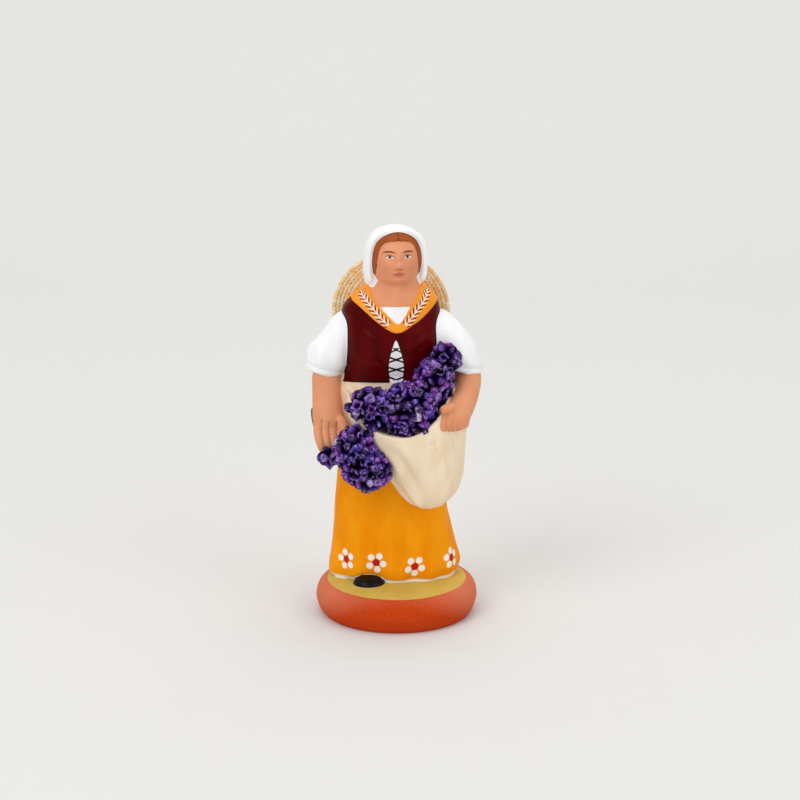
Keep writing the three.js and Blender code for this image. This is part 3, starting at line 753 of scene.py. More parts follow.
def linePlace(spots, facing, lines, within):  # how far along and across the nearest line each point is
    nearest, alongLine, acrossLine = (np.full(len(spots), value) for value in (within, 99.0, 9.0))
    for dots in lines:
        done = 0
        for a, b in zip(dots[:-1], dots[1:]):
            length = np.linalg.norm(b - a)
            direction = (b - a) / length
            rel = spots - a
            t = np.clip(rel @ direction, 0, length)
            gap = np.linalg.norm(rel - t[:, None] * direction, axis=1)
            side = np.sum(np.cross(direction, facing) * rel, axis=1)
            closer = gap < nearest
            nearest = np.where(closer, gap, nearest)
            alongLine = np.where(closer, done + t, alongLine)
            acrossLine = np.where(closer, np.copysign(gap, side), acrossLine)
            done += length
    return alongLine, acrossLine, nearest, done


def creases(table):  # a valley with a low ridge on each side, which dies out at both ends
    total = np.zeros(len(points))
    inFrontView = points * (1, 0, 1)
    for line, width, depth in table:
        dots = np.insert(smoothLine(line, 12), 1, 0, axis=1)
        place, side, _, length = linePlace(inFrontView, (0, 1, 0), [dots], far)
        fade = smoothStep(place, 0, 0.3 * length) * smoothStep(length - place, 0, 0.3 * length)
        valley = np.exp(-(side / width) ** 2) - 0.55 * np.exp(-((np.abs(side) - 1.6 * width) / width) ** 2)
        total -= depth * valley * fade * (points[:, 1] < 0)
    return total


def fingerGap():  # nearly 0 where two fingers meet
    gaps = np.stack([distanceTo(tree, points) for tree in fingerTrees])
    gaps.sort(axis=0)
    return np.where(gaps[0] < 0.8, gaps[1] - gaps[0], 3.0)


betweenFingers = fingerGap()


def cuffPlace():  # distance above the sleeve's lower edge
    result = np.full(len(points), 9.0)
    for line, onSide in ((cuffs["left"], points[:, 0] < 0), (cuffs["right"], points[:, 0] > 0)):
        (x0, z0), (x1, z1) = line
        edge = z0 + (points[:, 0] - x0) * (z1 - z0) / (x1 - x0)
        result = np.where(onSide, points[:, 2] - edge, result)
    return result


def band(value, height, at, width):
    return height * np.exp(-((value - at) / width) ** 2)


def moveOut():
    z = points[:, 2]
    lift = relief["handWork"] * softNoise(points, 2.6, 1)
    clothes = {name: smoothStep(inside[name], 0.0, 0.5) for name in inside}
    onCuff = cuffPlace()
    sleeve = relief["sleeveFold"] * softNoise(points * (1.0, 1.0, 0.4), 1.9, 2) * smoothStep(onCuff, 0.6, 2.6)
    sleeve += band(onCuff, *relief["cuffRoll"]) - band(onCuff, *relief["cuffGroove"])
    lift += clothes["sleeves"] * sleeve
    apronFolds = relief["apronFold"] * softNoise(points * (1.0, 0.8, 0.35), 2.3, 3)
    lift += clothes["apron"] * (apronFolds + creases(apronCreases))
    lift += clothes["skirt"] * relief["skirtFold"] * softNoise(points * (1.0, 0.8, 0.14), 3.2, 4)
    bodiceFolds = relief["bodiceFold"] * softNoise(points * (0.6, 0.6, 1.0), 1.6, 5)
    lift += clothes["bodice"] * (bodiceFolds + creases(bodicePuckers))
    strand = np.sin(9 * np.hypot(local[:, 0], local[:, 1] + 6) + 2 * softNoise(points, 1.5, 6))
    lift += clothes["hair"] * relief["hairStrand"] * strand
    pleat = np.sin(14 * np.arctan2(local[:, 0], local[:, 1] + 1.0)) * smoothStep(local[:, 2], 0.5, -3.5)
    lift += clothes["coif"] * relief["coifPleat"] * (pleat * (local[:, 1] > 0) + softNoise(points, 1.4, 8))
    onBase = smoothStep(inside["base"], 0.0, 0.5) * smoothStep(z, -5.8, -5.0)
    lift += onBase * relief["baseDent"] * softNoise(points, 4.5, 7)
    lift -= smoothStep(inside["arms"], -0.1, 0.1) * band(betweenFingers, *relief["fingerGroove"])
    return points + normals * lift[:, None]


moved = moveOut()
setVerts(figure.data, moved)
print("relief worked in")

# Paint areas and the places of painted patterns, kept on the mesh for the materials

patterns = {
    "daisyCount": 9,
    "daisyReach": 2.5,
    "petalRing": 1.28,
    "petalSize": 0.6,
    "heartSize": 0.66,
    "earLength": 9.0,
    "earPitch": 0.95,  # one barb of the wheat ear to the next
    "earReach": 1.3,  # how far from its middle an ear can have paint
    "openingTop": 43.0,
    "laceTop": 43.35,  # the highest crossing
    "lacePitch": 1.9,
    "laceRise": 0.46,
    "laceHalf": 0.18,
}
# the wheat ears from the breast up to the shoulder: x, y, height, brought onto the fichu by the code
earLines = [
    [
        (-1.15, -6.2, 47.5), (-2.75, -5.9, 48.95), (-3.95, -5.2, 50.2), (-5.1, -4.1, 51.5),
        (-6.1, -2.4, 52.6), (-6.1, -0.2, 53.5),
    ],
    [
        (1.4, -6.2, 47.5), (2.7, -5.9, 48.9), (3.85, -5.2, 50.2), (4.75, -4.1, 51.4), (5.4, -2.4, 52.6),
        (5.5, -0.2, 53.5),
    ],
]


paintedForms = (
    "bodice", "fichu", "skirt", "petticoat", "shoe", "hair", "coif", "sleeves", "apron", "webs", "stalk",
    "arms",
)
faceLines = ("eyeWhite", "iris", "lid", "brow", "nostril", "lip", "mouthLine")
placedFields = (
    "groundPaint", "hemPaint", "frontWebPaint", "chestPaint", "betweenFingers", "bodyHeight", "bodiceEdge",
    "coifEdge", "parting", "blush", "earAlong", "earAcross", "earNear", "laceAcross", "openingPaint",
    "daisyAcross", "daisyUp", "daisyNear", "dustHeight",
)


def paintFichu(mesh):
    routes = [along(line, np.linspace(0, 1, 40)) for line in earLines]
    onCloth = [
        np.array([trees["fichu"].find_nearest(spot.tolist())[0] for spot in route]) for route in routes
    ]
    alongEar, acrossEar, gap, _ = linePlace(points, normals, onCloth, 3.0)
    setAttribute(mesh, "earAlong", alongEar)
    setAttribute(mesh, "earAcross", acrossEar)
    setAttribute(mesh, "earNear", patterns["earReach"] - gap)


def paintLacing(mesh):
    left = np.array(lacingOutline[1:5])
    right = np.array(lacingOutline[4:8][::-1])
    z = points[:, 2]
    xl = np.interp(z, left[:, 1], left[:, 0])
    xr = np.interp(z, right[:, 1], right[:, 0])
    middle, half = (xl + xr) / 2, np.maximum((xr - xl) / 2, 0.2)
    share = np.clip(np.abs(points[:, 0] - middle) / half, 0, 3)
    setAttribute(mesh, "laceAcross", np.where(points[:, 1] < 0, share, 3))
    opening = np.minimum((1 - share) * half, z - bodiceHem["front"][1] + 0.4)
    inFront = (points[:, 1] < 0) & (z < patterns["openingTop"])
    setAttribute(mesh, "openingPaint", np.where(inFront, opening, -1))


def skirtPoint(turn, height):
    stations = np.array(skirtStations)
    x, y, w, d = (np.interp(height, stations[:, 0], stations[:, k]) for k in (1, 2, 3, 4))
    return np.array([x + w * squared(np.cos(turn), 2.2), y + d * squared(np.sin(turn), 2.2), height])


def daisyPlaces():
    turns = np.linspace(0, 2 * math.pi, 721)
    ring = np.array([skirtPoint(t, 4.0) for t in turns])
    arc = np.concatenate([[0], np.cumsum(np.linalg.norm(np.diff(ring, axis=0), axis=1))])
    fronts = [(-9.0, 4.3), (-3.6, 4.3), (3.2, 3.5), (9.8, 4.1)]
    places = []
    for x, height in fronts:
        near = np.argmin(np.abs(ring[:, 0] - x) + 50 * (ring[:, 1] > 2.0))
        places.append((turns[near], height, arc[near]))
    rest = patterns["daisyCount"] - len(fronts)
    first, last = places[-1][2] - arc[-1], places[0][2]
    for i in range(rest):
        spot = (first + (last - first) * (i + 1) / (rest + 1)) % arc[-1]
        places.append((np.interp(spot, arc, turns), 4.0, spot))
    return places


def paintDaisies(mesh):
    across, up, nearness = (np.full(len(points), value) for value in (9.0, 9.0, -1.0))
    for i, (turn, height, _) in enumerate(daisyPlaces()):
        centre = skirtPoint(turn, height)
        tangent = skirtPoint(turn + 0.02, height) - skirtPoint(turn - 0.02, height)
        tangent /= np.linalg.norm(tangent)
        lift = skirtPoint(turn, height + 0.5) - skirtPoint(turn, height - 0.5)
        lift /= np.linalg.norm(lift)
        rel = points - centre
        gap = np.linalg.norm(rel, axis=1)
        near = gap < patterns["daisyReach"] + 0.5
        a, b = rel @ tangent, rel @ lift
        spin = 0.5 * math.sin(5 * i)
        across = np.where(near, a * math.cos(spin) - b * math.sin(spin), across)
        up = np.where(near, a * math.sin(spin) + b * math.cos(spin), up)
        nearness = np.maximum(nearness, patterns["daisyReach"] - gap)
    setAttribute(mesh, "daisyAcross", across)
    setAttribute(mesh, "daisyUp", up)
    setAttribute(mesh, "daisyNear", nearness)


def paintFace(mesh):
    x, _, z = local.T  # from the head's middle
    onFace = (inside["face"] > 0.1) & (local[:, 1] < -1.5)
    side = np.abs(x)
    eye = (side - 1.55) / 0.78
    browRise = 1.32 - 0.2 * ((side - 1.65) / 0.95) ** 2
    brow = 0.14 * np.sqrt(np.maximum(0, 1 - ((side - 1.65) / 1.0) ** 2)) - np.abs(z - browRise)
    upperLid = 0.62 - 0.3 * eye ** 2
    lowerLid = 0.12 + 0.16 * eye ** 2
    lid = 0.075 - np.abs(z - upperLid) - 0.5 * np.maximum(0, np.abs(eye) - 0.95)
    white = np.minimum(np.minimum(upperLid - z, z - lowerLid), 1 - np.abs(eye))
    iris = np.minimum(0.25 - np.hypot(side - 1.52, z - 0.38), upperLid - z)
    mouth = x / 1.12
    bow = 0.1 * np.cos(4 * mouth) - 0.22 * mouth ** 2
    upperLip = np.minimum(bow - 2.3 - z, z + 2.58 + 0.03 * mouth ** 2)
    lowerLip = np.minimum(-2.6 + 0.02 * mouth ** 2 - z, z + 3.0 - 0.38 * mouth ** 2)
    lip = np.maximum(upperLip, lowerLip)
    mouthLine = 0.045 - np.abs(z + 2.59 - 0.04 * mouth ** 2) - 0.4 * np.maximum(0, np.abs(mouth) - 0.9)
    # darker skin at the nostrils: painted shade
    nostril = 0.13 - np.hypot((side - 0.33) / 1.3, z + 1.78)
    blush = np.exp(-((side - 2.3) / 1.1) ** 2 - ((z + 1.4) / 1.0) ** 2)
    for name, field in zip(faceLines, (white, iris, lid, brow, nostril, lip, mouthLine)):
        setAttribute(mesh, name, np.where(onFace, np.maximum(field, -0.5), -0.5))
    setAttribute(mesh, "blush", np.where(onFace, blush, 0))


def paintAreas(mesh):
    x, y, z = points.T
    for name in paintedForms:
        setAttribute(mesh, name + "Paint", inside[name])
    ground = np.minimum(baseSizes["groundRadius"] - 0.15 - np.hypot(x, y), z + 1.5)
    setAttribute(mesh, "groundPaint", ground)
    atShoe = hemLift["height"] * np.exp(-((x - hemLift["x"]) / hemLift["width"]) ** 2) * (y < 1.9)
    hem = skirtStations[0][0] + atShoe + 0.1 - 0.2 * smoothStep(x, 6.5, 10) - z
    setAttribute(mesh, "hemPaint", np.minimum(hem, np.maximum(inside["skirt"], inside["petticoat"]) + 0.1))
    setAttribute(mesh, "betweenFingers", np.where((inside["arms"] > -0.1) & (x < 0), betweenFingers, 3))
    setAttribute(mesh, "frontWebPaint", np.minimum(inside["webs"], 0.6 - y))
    setAttribute(mesh, "chestPaint", np.where(z > 36, np.minimum(inside["torso"], 50.55 - z), -1))
    setAttribute(mesh, "bodyHeight", z)
    # bare clay paler towards the top and the sides: dust, and painted light from above
    setAttribute(mesh, "dustHeight", z + baseSizes["dustAndLightDrop"] * (x / baseSizes["radius"]) ** 2)
    hemHeight = np.interp(y, *zip(bodiceHem["front"], bodiceHem["sides"]))
    armhole = np.abs(reach["sleeves"] - reach["bodice"])
    setAttribute(mesh, "bodiceEdge", np.minimum(armhole, np.abs(z - hemHeight)))
    # where the coif meets the hair, for a painted shadow line under its rim
    setAttribute(mesh, "coifEdge", np.abs(reach["coif"] - reach["hair"]))
    setAttribute(mesh, "parting", np.where(local[:, 1] < 1, np.abs(local[:, 0]), 3))


mesh = figure.data
paintAreas(mesh)
paintFichu(mesh)
paintLacing(mesh)
paintDaisies(mesh)
paintFace(mesh)
print("patterns placed")


# Materials

def newMaterial(name):
    material = bpy.data.materials.new(name)
    material.use_nodes = True
    tree = material.node_tree
    tree.nodes.clear()
    shader = addNode(tree, "ShaderNodeBsdfPrincipled", output=None)
    addNode(tree, "ShaderNodeOutputMaterial", shader.outputs[0], output=None)
    inMetres = addNode(tree, "ShaderNodeTexCoord", output="Object")
    inMm = addNode(tree, "ShaderNodeMapping", inMetres, inputs={"Scale": (1 / mm, 1 / mm, 1 / mm)})
    return material, tree, shader, inMm


def fillRamp(ramp, tones):
    stops = ramp.color_ramp.elements
    while len(stops) < len(tones):
        stops.new(0.5)
    for stop, (position, colour) in zip(stops, tones):
        stop.position = position
        stop.color = linear(colour)


# each paint's two hand-mixed tones, how rough it dries and how much it reflects
clayPaints = {
    "ground": ("#D7B959", "#CFAF51", 0.6, 0.08),
    "skin": ("#E8A179", "#E0946A", 0.48, 0.16),
    "stalk": ("#56543B", "#3C3B26", 0.6, 0.12),
    "petticoat": ("#FCF8F3", "#F3ECE4", 0.5, 0.16),
    "shoe": ("#080506", "#080506", 0.32, 0.18),
    "skirt": ("#FFA40E", "#F48E00", 0.5, 0.05),
    "daisyPetal": ("#FFFDF6", "#F6F0E4", 0.5, 0.16),
    "daisyHeart": ("#CF0F17", "#B80D14", 0.42, 0.2),
    "apron": ("#FDEACC", "#EFD8B6", 0.6, 0.06),
    "linen": ("#FDFDFC", "#F4F4F5", 0.55, 0.12),
    "bodice": ("#420001", "#640204", 0.3, 0.06),
    "bodiceLine": ("#140203", "#140203", 0.4, 0.15),
    "fichu": ("#FCA434", "#F29214", 0.46, 0.1),
    "earRed": ("#A80C10", "#7E0A0E", 0.45, 0.15),
    "earWhite": ("#FFF8EE", "#FDEEDF", 0.45, 0.16),
    "hair": ("#AE5826", "#94431A", 0.42, 0.14),
    "hairLineAndShadow": ("#3E1A0A", "#3E1A0A", 0.5, 0.12),
    "fingerLineAndShade": ("#A9603A", "#A9603A", 0.5, 0.12),
    "eyeWhite": ("#F0DAC4", "#F0DAC4", 0.4, 0.25),
    "iris": ("#35180C", "#35180C", 0.3, 0.35),
    "lid": ("#6A3418", "#6A3418", 0.45, 0.15),
    "brow": ("#7E4420", "#6E3817", 0.45, 0.15),
    "nostril": ("#AE5C37", "#AE5C37", 0.5, 0.12),
    "lip": ("#D8766A", "#CF6A5E", 0.42, 0.2),
    "mouthLine": ("#A04A3E", "#A04A3E", 0.45, 0.15),
}
baseClay = {"fired": "#C63F0A", "dustyAndLit": "#D77858", "blush": "#D8704E"}


def paintEdge(tree, field, softness=0.04, wobble=None):  # 1 where the field is over 0, with a soft edge
    if wobble:
        field = addNode(tree, "ShaderNodeMath", field, wobble, operation="ADD")
    return addNode(tree, "ShaderNodeMapRange", field, -softness, softness, interpolation_type="SMOOTHSTEP")


def under(tree, field, limit, softness=0.05):  # 1 where the field is less than the limit
    return addNode(tree, "ShaderNodeMapRange", field, limit + softness, limit - softness)


def drawnLine(tree, field, half, softness=0.05):  # 1 within half a line's width of where the field is 0
    return under(tree, addNode(tree, "ShaderNodeMath", field, operation="ABSOLUTE"), half, softness)


def allOf(tree, *masks):
    total = masks[0]
    for part in masks[1:]:
        total = addNode(tree, "ShaderNodeMath", total, part, operation="MULTIPLY")
    return total


def daisies(tree, fields):  # five round dabs of white with a red one in the middle
    spot = addNode(tree, "ShaderNodeCombineXYZ", fields["daisyAcross"], fields["daisyUp"])
    radius = addNode(tree, "ShaderNodeVectorMath", spot, output="Value", operation="LENGTH")
    angle = addNode(tree, "ShaderNodeMath", fields["daisyUp"], fields["daisyAcross"], operation="ARCTAN2")
    turn = addNode(tree, "ShaderNodeMath", angle, 2 * math.pi, operation="ADD")
    petalTurn = addNode(tree, "ShaderNodeMath", turn, 0.4 * math.pi, operation="MODULO")
    lean = addNode(tree, "ShaderNodeMath", petalTurn, 0.2 * math.pi, operation="SUBTRACT")
    cosine = addNode(tree, "ShaderNodeMath", lean, operation="COSINE")
    sine = addNode(tree, "ShaderNodeMath", lean, operation="SINE")
    outward = addNode(tree, "ShaderNodeMath", radius, cosine, operation="MULTIPLY")
    fromPetal = addNode(tree, "ShaderNodeMath", outward, patterns["petalRing"], operation="SUBTRACT")
    aside = addNode(tree, "ShaderNodeMath", radius, sine, operation="MULTIPLY")
    petalSpot = addNode(tree, "ShaderNodeCombineXYZ", fromPetal, aside)
    petal = addNode(tree, "ShaderNodeVectorMath", petalSpot, output="Value", operation="LENGTH")
    near = paintEdge(tree, fields["daisyNear"], 0.1)
    inPetal = under(tree, petal, patterns["petalSize"])
    inHeart = under(tree, radius, patterns["heartSize"])
    return allOf(tree, inPetal, near), allOf(tree, inHeart, near)


def laces(tree, fields):  # crossed cords between the bodice's two edges
    height, across = fields["bodyHeight"], fields["laceAcross"]
    pitch = patterns["lacePitch"]
    start = patterns["laceTop"] + 0.5 * pitch - 20 * pitch
    climb = addNode(tree, "ShaderNodeMath", height, start, operation="SUBTRACT")
    step = addNode(tree, "ShaderNodeMath", climb, pitch, operation="MODULO")
    fromCross = addNode(tree, "ShaderNodeMath", step, 0.5 * pitch, operation="SUBTRACT")
    rise = addNode(tree, "ShaderNodeMath", fromCross, operation="ABSOLUTE")
    slope = addNode(tree, "ShaderNodeMath", across, patterns["laceRise"], operation="MULTIPLY")
    offCord = addNode(tree, "ShaderNodeMath", rise, slope, operation="SUBTRACT")
    cord = drawnLine(tree, offCord, patterns["laceHalf"], 0.04)
    between = under(tree, across, 1.15)
    overHem = addNode(tree, "ShaderNodeMath", height, bodiceHem["front"][1], operation="SUBTRACT")
    belowTop = under(tree, height, patterns["laceTop"] + 0.7 * patterns["laceRise"], 0.1)
    return allOf(tree, cord, between, paintEdge(tree, overHem, 0.1), belowTop)


def wheatEars(tree, fields):  # white barbs up a white stem, with dark red strokes between them
    pitch = patterns["earPitch"]
    aside = addNode(tree, "ShaderNodeMath", fields["earAcross"], operation="ABSOLUTE")
    lean = addNode(tree, "ShaderNodeMath", aside, 1.3, operation="MULTIPLY")
    place = addNode(tree, "ShaderNodeMath", fields["earAlong"], lean, operation="SUBTRACT")
    climb = addNode(tree, "ShaderNodeMath", place, 20 * pitch, operation="ADD")
    step = addNode(tree, "ShaderNodeMath", climb, pitch, operation="MODULO")
    fromWhite = addNode(tree, "ShaderNodeMath", step, 0.27 * pitch, operation="SUBTRACT")
    fromRed = addNode(tree, "ShaderNodeMath", step, 0.7 * pitch, operation="SUBTRACT")
    begun = addNode(tree, "ShaderNodeMath", fields["earAlong"], 0.3, operation="SUBTRACT")
    end = under(tree, fields["earAlong"], patterns["earLength"], 0.1)
    onEar = allOf(tree, paintEdge(tree, begun, 0.1), end, paintEdge(tree, fields["earNear"], 0.1))
    red = allOf(tree, drawnLine(tree, fromRed, 0.2), under(tree, aside, 0.72, 0.12), onEar)
    barb = allOf(tree, drawnLine(tree, fromWhite, 0.13), under(tree, aside, 0.66, 0.1))
    stem = drawnLine(tree, fields["earAcross"], 0.08)
    white = addNode(tree, "ShaderNodeMath", barb, stem, operation="MAXIMUM")
    return red, allOf(tree, white, onEar)


def paintedClay():
    # terracotta under gouache: bare clay is dry and dusty, and paler up high and at the sides as painted
    # light; the paint dries to a soft satin with brush marks
    material, tree, shader, inMm = newMaterial("terracottaPaintedWithGouache")
    names = [name + "Paint" for name in paintedForms] + list(faceLines + placedFields)
    fields = {name: addNode(tree, "ShaderNodeAttribute", output="Fac", attribute_name=name) for name in names}
    brush = addNode(tree, "ShaderNodeMapping", inMm, inputs={"Scale": (2.4, 2.4, 0.6)})
    bristles = {"Scale": 1.0, "Detail": 4.0, "Roughness": 0.6}
    strokes = addNode(tree, "ShaderNodeTexNoise", brush, inputs=bristles)
    wander = addNode(tree, "ShaderNodeTexNoise", inMm, inputs={"Scale": 1.3, "Detail": 2.0})
    wobble = addNode(tree, "ShaderNodeMapRange", wander, 0.3, 0.7, -0.06, 0.06)
    grain = addNode(tree, "ShaderNodeTexNoise", inMm, inputs={"Scale": 5.0, "Detail": 5.0, "Roughness": 0.7})
    wash = addNode(tree, "ShaderNodeMapping", inMm, inputs={"Scale": (0.34, 0.34, 0.12)})
    washes = addNode(tree, "ShaderNodeTexNoise", wash, inputs={"Scale": 1.0, "Detail": 1.0})
    broad = addNode(tree, "ShaderNodeMapRange", washes, 0.3, 0.7, 0.0, 0.75)
    fine = addNode(tree, "ShaderNodeMapRange", strokes, 0.35, 0.65, 0.0, 0.25)
    shade = addNode(tree, "ShaderNodeMath", broad, fine, operation="ADD")

    # bare clay from fired red low down to pale at the top and sides: dust and painted light
    height = addNode(tree, "ShaderNodeMapRange", fields["dustHeight"], -1.2, 4.2)
    speckle = addNode(tree, "ShaderNodeMapRange", grain, 0.25, 0.75, -0.42, 0.42)
    dustAndLight = addNode(tree, "ShaderNodeMath", height, speckle, operation="ADD")
    colour = addNode(tree, "ShaderNodeMix", output=2, data_type="RGBA",
                     inputs={0: dustAndLight, 6: linear(baseClay["fired"]), 7: linear(baseClay["dustyAndLit"])})
    rough, gloss = 0.8, 0.05

    overFeet = addNode(tree, "ShaderNodeMath", fields["bodyHeight"], 2.2, operation="SUBTRACT")
    petals, hearts = daisies(tree, fields)
    redEar, whiteEar = wheatEars(tree, fields)
    onFichu = paintEdge(tree, fields["fichuPaint"], 0.04, wobble)
    onHair = paintEdge(tree, fields["hairPaint"], 0.08)
    onBodice = paintEdge(tree, addNode(tree, "ShaderNodeMath", fields["bodicePaint"], 0.1, operation="ADD"))
    onArm = paintEdge(tree, fields["armsPaint"], 0.1)
    layers = [
        ("ground", paintEdge(tree, fields["groundPaint"], 0.04, wobble)),
        ("skin", paintEdge(tree, overFeet, 0.3)),
        ("skirt", paintEdge(tree, fields["websPaint"])),
        ("apron", paintEdge(tree, fields["frontWebPaint"])),
        ("stalk", paintEdge(tree, fields["stalkPaint"])),
        # darker skin where the fingers meet: a painted line, and painted shade in the grooves
        ("fingerLineAndShade", allOf(tree, drawnLine(tree, fields["betweenFingers"], 0.1, 0.08), onArm)),
        ("petticoat", paintEdge(tree, fields["petticoatPaint"], 0.1)),
        ("shoe", paintEdge(tree, fields["shoePaint"])),
        ("skirt", paintEdge(tree, fields["skirtPaint"], 0.04, wobble)),
        ("petticoat", paintEdge(tree, fields["hemPaint"], 0.05)),
        ("daisyPetal", petals),
        ("daisyHeart", hearts),
        ("apron", paintEdge(tree, fields["apronPaint"], 0.04, wobble)),
        ("linen", paintEdge(tree, fields["chestPaint"], 0.04, wobble)),
        ("linen", paintEdge(tree, fields["openingPaint"])),
        ("linen", paintEdge(tree, fields["sleevesPaint"])),
        ("bodice", paintEdge(tree, fields["bodicePaint"])),
        ("bodiceLine", allOf(tree, drawnLine(tree, fields["bodiceEdge"], 0.17), onBodice)),
        ("bodiceLine", laces(tree, fields)),
        ("fichu", onFichu),
        ("earRed", allOf(tree, redEar, onFichu)),
        ("earWhite", allOf(tree, whiteEar, onFichu)),
        ("hair", paintEdge(tree, fields["hairPaint"], 0.04, wobble)),
        ("hairLineAndShadow", allOf(tree, drawnLine(tree, fields["parting"], 0.09), onHair)),
        # dark line where the hair goes under the coif: painted shadow
        ("hairLineAndShadow", allOf(tree, drawnLine(tree, fields["coifEdge"], 0.17), onHair)),
        ("linen", paintEdge(tree, fields["coifPaint"])),
    ]
    layers += [(name, paintEdge(tree, fields[name], 0.05)) for name in faceLines]
    for name, area in layers:
        light, dark, roughness, reflects = clayPaints[name]
        tone = linear(light)
        if dark != light:
            tones = {0: shade, 6: tone, 7: linear(dark)}
            tone = addNode(tree, "ShaderNodeMix", output=2, data_type="RGBA", inputs=tones)
        covered = {0: area, 6: colour, 7: tone}
        colour = addNode(tree, "ShaderNodeMix", output=2, data_type="RGBA", inputs=covered)
        rough = addNode(tree, "ShaderNodeMix", area, None, rough, roughness, data_type="FLOAT")
        gloss = addNode(tree, "ShaderNodeMix", area, None, gloss, reflects, data_type="FLOAT")
        if name == "skin":
            warm = addNode(tree, "ShaderNodeMath", fields["blush"], 0.35, operation="MULTIPLY")
            colour = addNode(tree, "ShaderNodeMix", output=2, data_type="RGBA",
                             inputs={0: warm, 6: colour, 7: linear(baseClay["blush"])})

    marks = addNode(tree, "ShaderNodeMath", strokes, 0.5, operation="MULTIPLY")
    dabs = addNode(tree, "ShaderNodeMath", petals, hearts, operation="MAXIMUM")
    raised = addNode(tree, "ShaderNodeMath", dabs, 2.0, marks, operation="MULTIPLY_ADD")
    relief = addNode(tree, "ShaderNodeMath", grain, 0.3, raised, operation="MULTIPLY_ADD")
    bump = addNode(tree, "ShaderNodeBump", inputs={"Height": relief, "Strength": 0.5, "Distance": 0.03 * mm})
    tree.links.new(colour, shader.inputs["Base Color"])
    tree.links.new(rough, shader.inputs["Roughness"])
    tree.links.new(gloss, shader.inputs["Specular IOR Level"])
    tree.links.new(bump, shader.inputs["Normal"])
    return material


setVerts(mesh, moved + (0, 0, figureSizes["groundHeight"]))
mesh.shade_smooth()
finishPiece(figure, paintedClay())
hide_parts("figure")
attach(figure, "root")
print("figure painted:", len(figure.data.polygons), "triangles")


# Lavender

lavenderSizes = {
    "blossom": 1.7,  # a blossom's width
    "spacing": 1.12,
    "core": -0.6,  # the glued core under the blossoms, against the mound's own size; painted near black as shade in the gaps
    "clearance": 0.3,
    "voxel": 0.4,  # the core's grid
}
# the first, near-black tone is only the core's: painted shade in the gaps
lavenderTones = [
    (0.0, "#020004"), (0.02, "#12022A"), (0.16, "#240850"), (0.34, "#3A1078"), (0.5, "#541A98"),
    (0.62, "#6E249C"), (0.72, "#4438A6"), (0.81, "#9038A4"), (0.9, "#9C78CE"), (0.955, "#C8AEE2"),
    (0.98, "#EADFF0"),
]


def lavenderMaterial():
    # dried lavender blossoms: papery, painted near black as shade at their bases and in the gaps, with pale
    # edges and veins that are partly painted highlight
    material, tree, shader, inMm = newMaterial("driedLavenderBlossoms")
    own = addNode(tree, "ShaderNodeAttribute", output="Fac", attribute_name="blossomShade")
    rim = addNode(tree, "ShaderNodeAttribute", output="Fac", attribute_name="rim")
    ramp = addNode(tree, "ShaderNodeValToRGB", own, output=None)
    ramp.color_ramp.interpolation = "CONSTANT"
    fillRamp(ramp, lavenderTones)
    crinkles = {"Scale": 2.2, "Detail": 4.0, "Roughness": 0.65, "Distortion": 0.8}
    veins = addNode(tree, "ShaderNodeTexNoise", inMm, inputs=crinkles)
    # pale veins towards the blossoms' tips: their own paler edges, partly painted highlight
    pale = addNode(tree, "ShaderNodeMapRange", veins, 0.49, 0.62, 0.0, 0.88)
    onRim = addNode(tree, "ShaderNodeMapRange", rim, 0.35, 0.85, 0.05, 1.0)
    paleEdgesAndHighlight = addNode(tree, "ShaderNodeMath", pale, onRim, operation="MULTIPLY")
    edges = {0: paleEdgesAndHighlight, 6: ramp.outputs[0], 7: linear("#B48AE6")}
    colour = addNode(tree, "ShaderNodeMix", output=2, data_type="RGBA", inputs=edges)
    # painted shade: near black towards each blossom's base and on the core, with random dark patches where
    # the veins are low
    base = addNode(tree, "ShaderNodeMapRange", rim, 0.2, 0.75, 1.0, 0.0)
    deep = addNode(tree, "ShaderNodeMapRange", veins, 0.5, 0.42, 0.0, 0.95)
    shadow = addNode(tree, "ShaderNodeMath", base, deep, operation="MAXIMUM")
    shadedBases = {0: shadow, 6: colour, 7: linear("#070114")}
    colour = addNode(tree, "ShaderNodeMix", output=2, data_type="RGBA", inputs=shadedBases)
    bump = addNode(tree, "ShaderNodeBump", inputs={"Height": veins, "Strength": 0.6, "Distance": 0.15 * mm})
    tree.links.new(colour, shader.inputs["Base Color"])
    tree.links.new(bump, shader.inputs["Normal"])
    sheen = addNode(tree, "ShaderNodeMapRange", rim, 0.3, 0.9, 0.0, 0.3)
    tree.links.new(sheen, shader.inputs["Specular IOR Level"])
    shader.inputs["Roughness"].default_value = 0.42
    return material


def blossomMesh(name, rows, lobes, lobeDepth, squash):  # rows of (radius, height, rim), closed at both ends
    sides = 8
    turn = fullTurn(sides)
    wave = np.cos(lobes * turn)
    verts, rims = [(0, 0, rows[0][1])], [rows[0][2]]
    for radius, height, rim in rows:
        r = radius * (1 + lobeDepth * wave)
        rise = height + 0.3 * rim * lobeDepth * wave
        verts += np.stack([r * np.cos(turn), squash * r * np.sin(turn), rise], 1).tolist()
        rims += [rim] * sides
    verts.append((0, 0, rows[-1][1]))
    rims.append(rows[-1][2])
    own = bpy.data.meshes.new(name)
    own.from_pydata([tuple(v) for v in verts], [], skinFaces(len(rows), sides))
    setAttribute(own, "rim", np.array(rims))
    return own


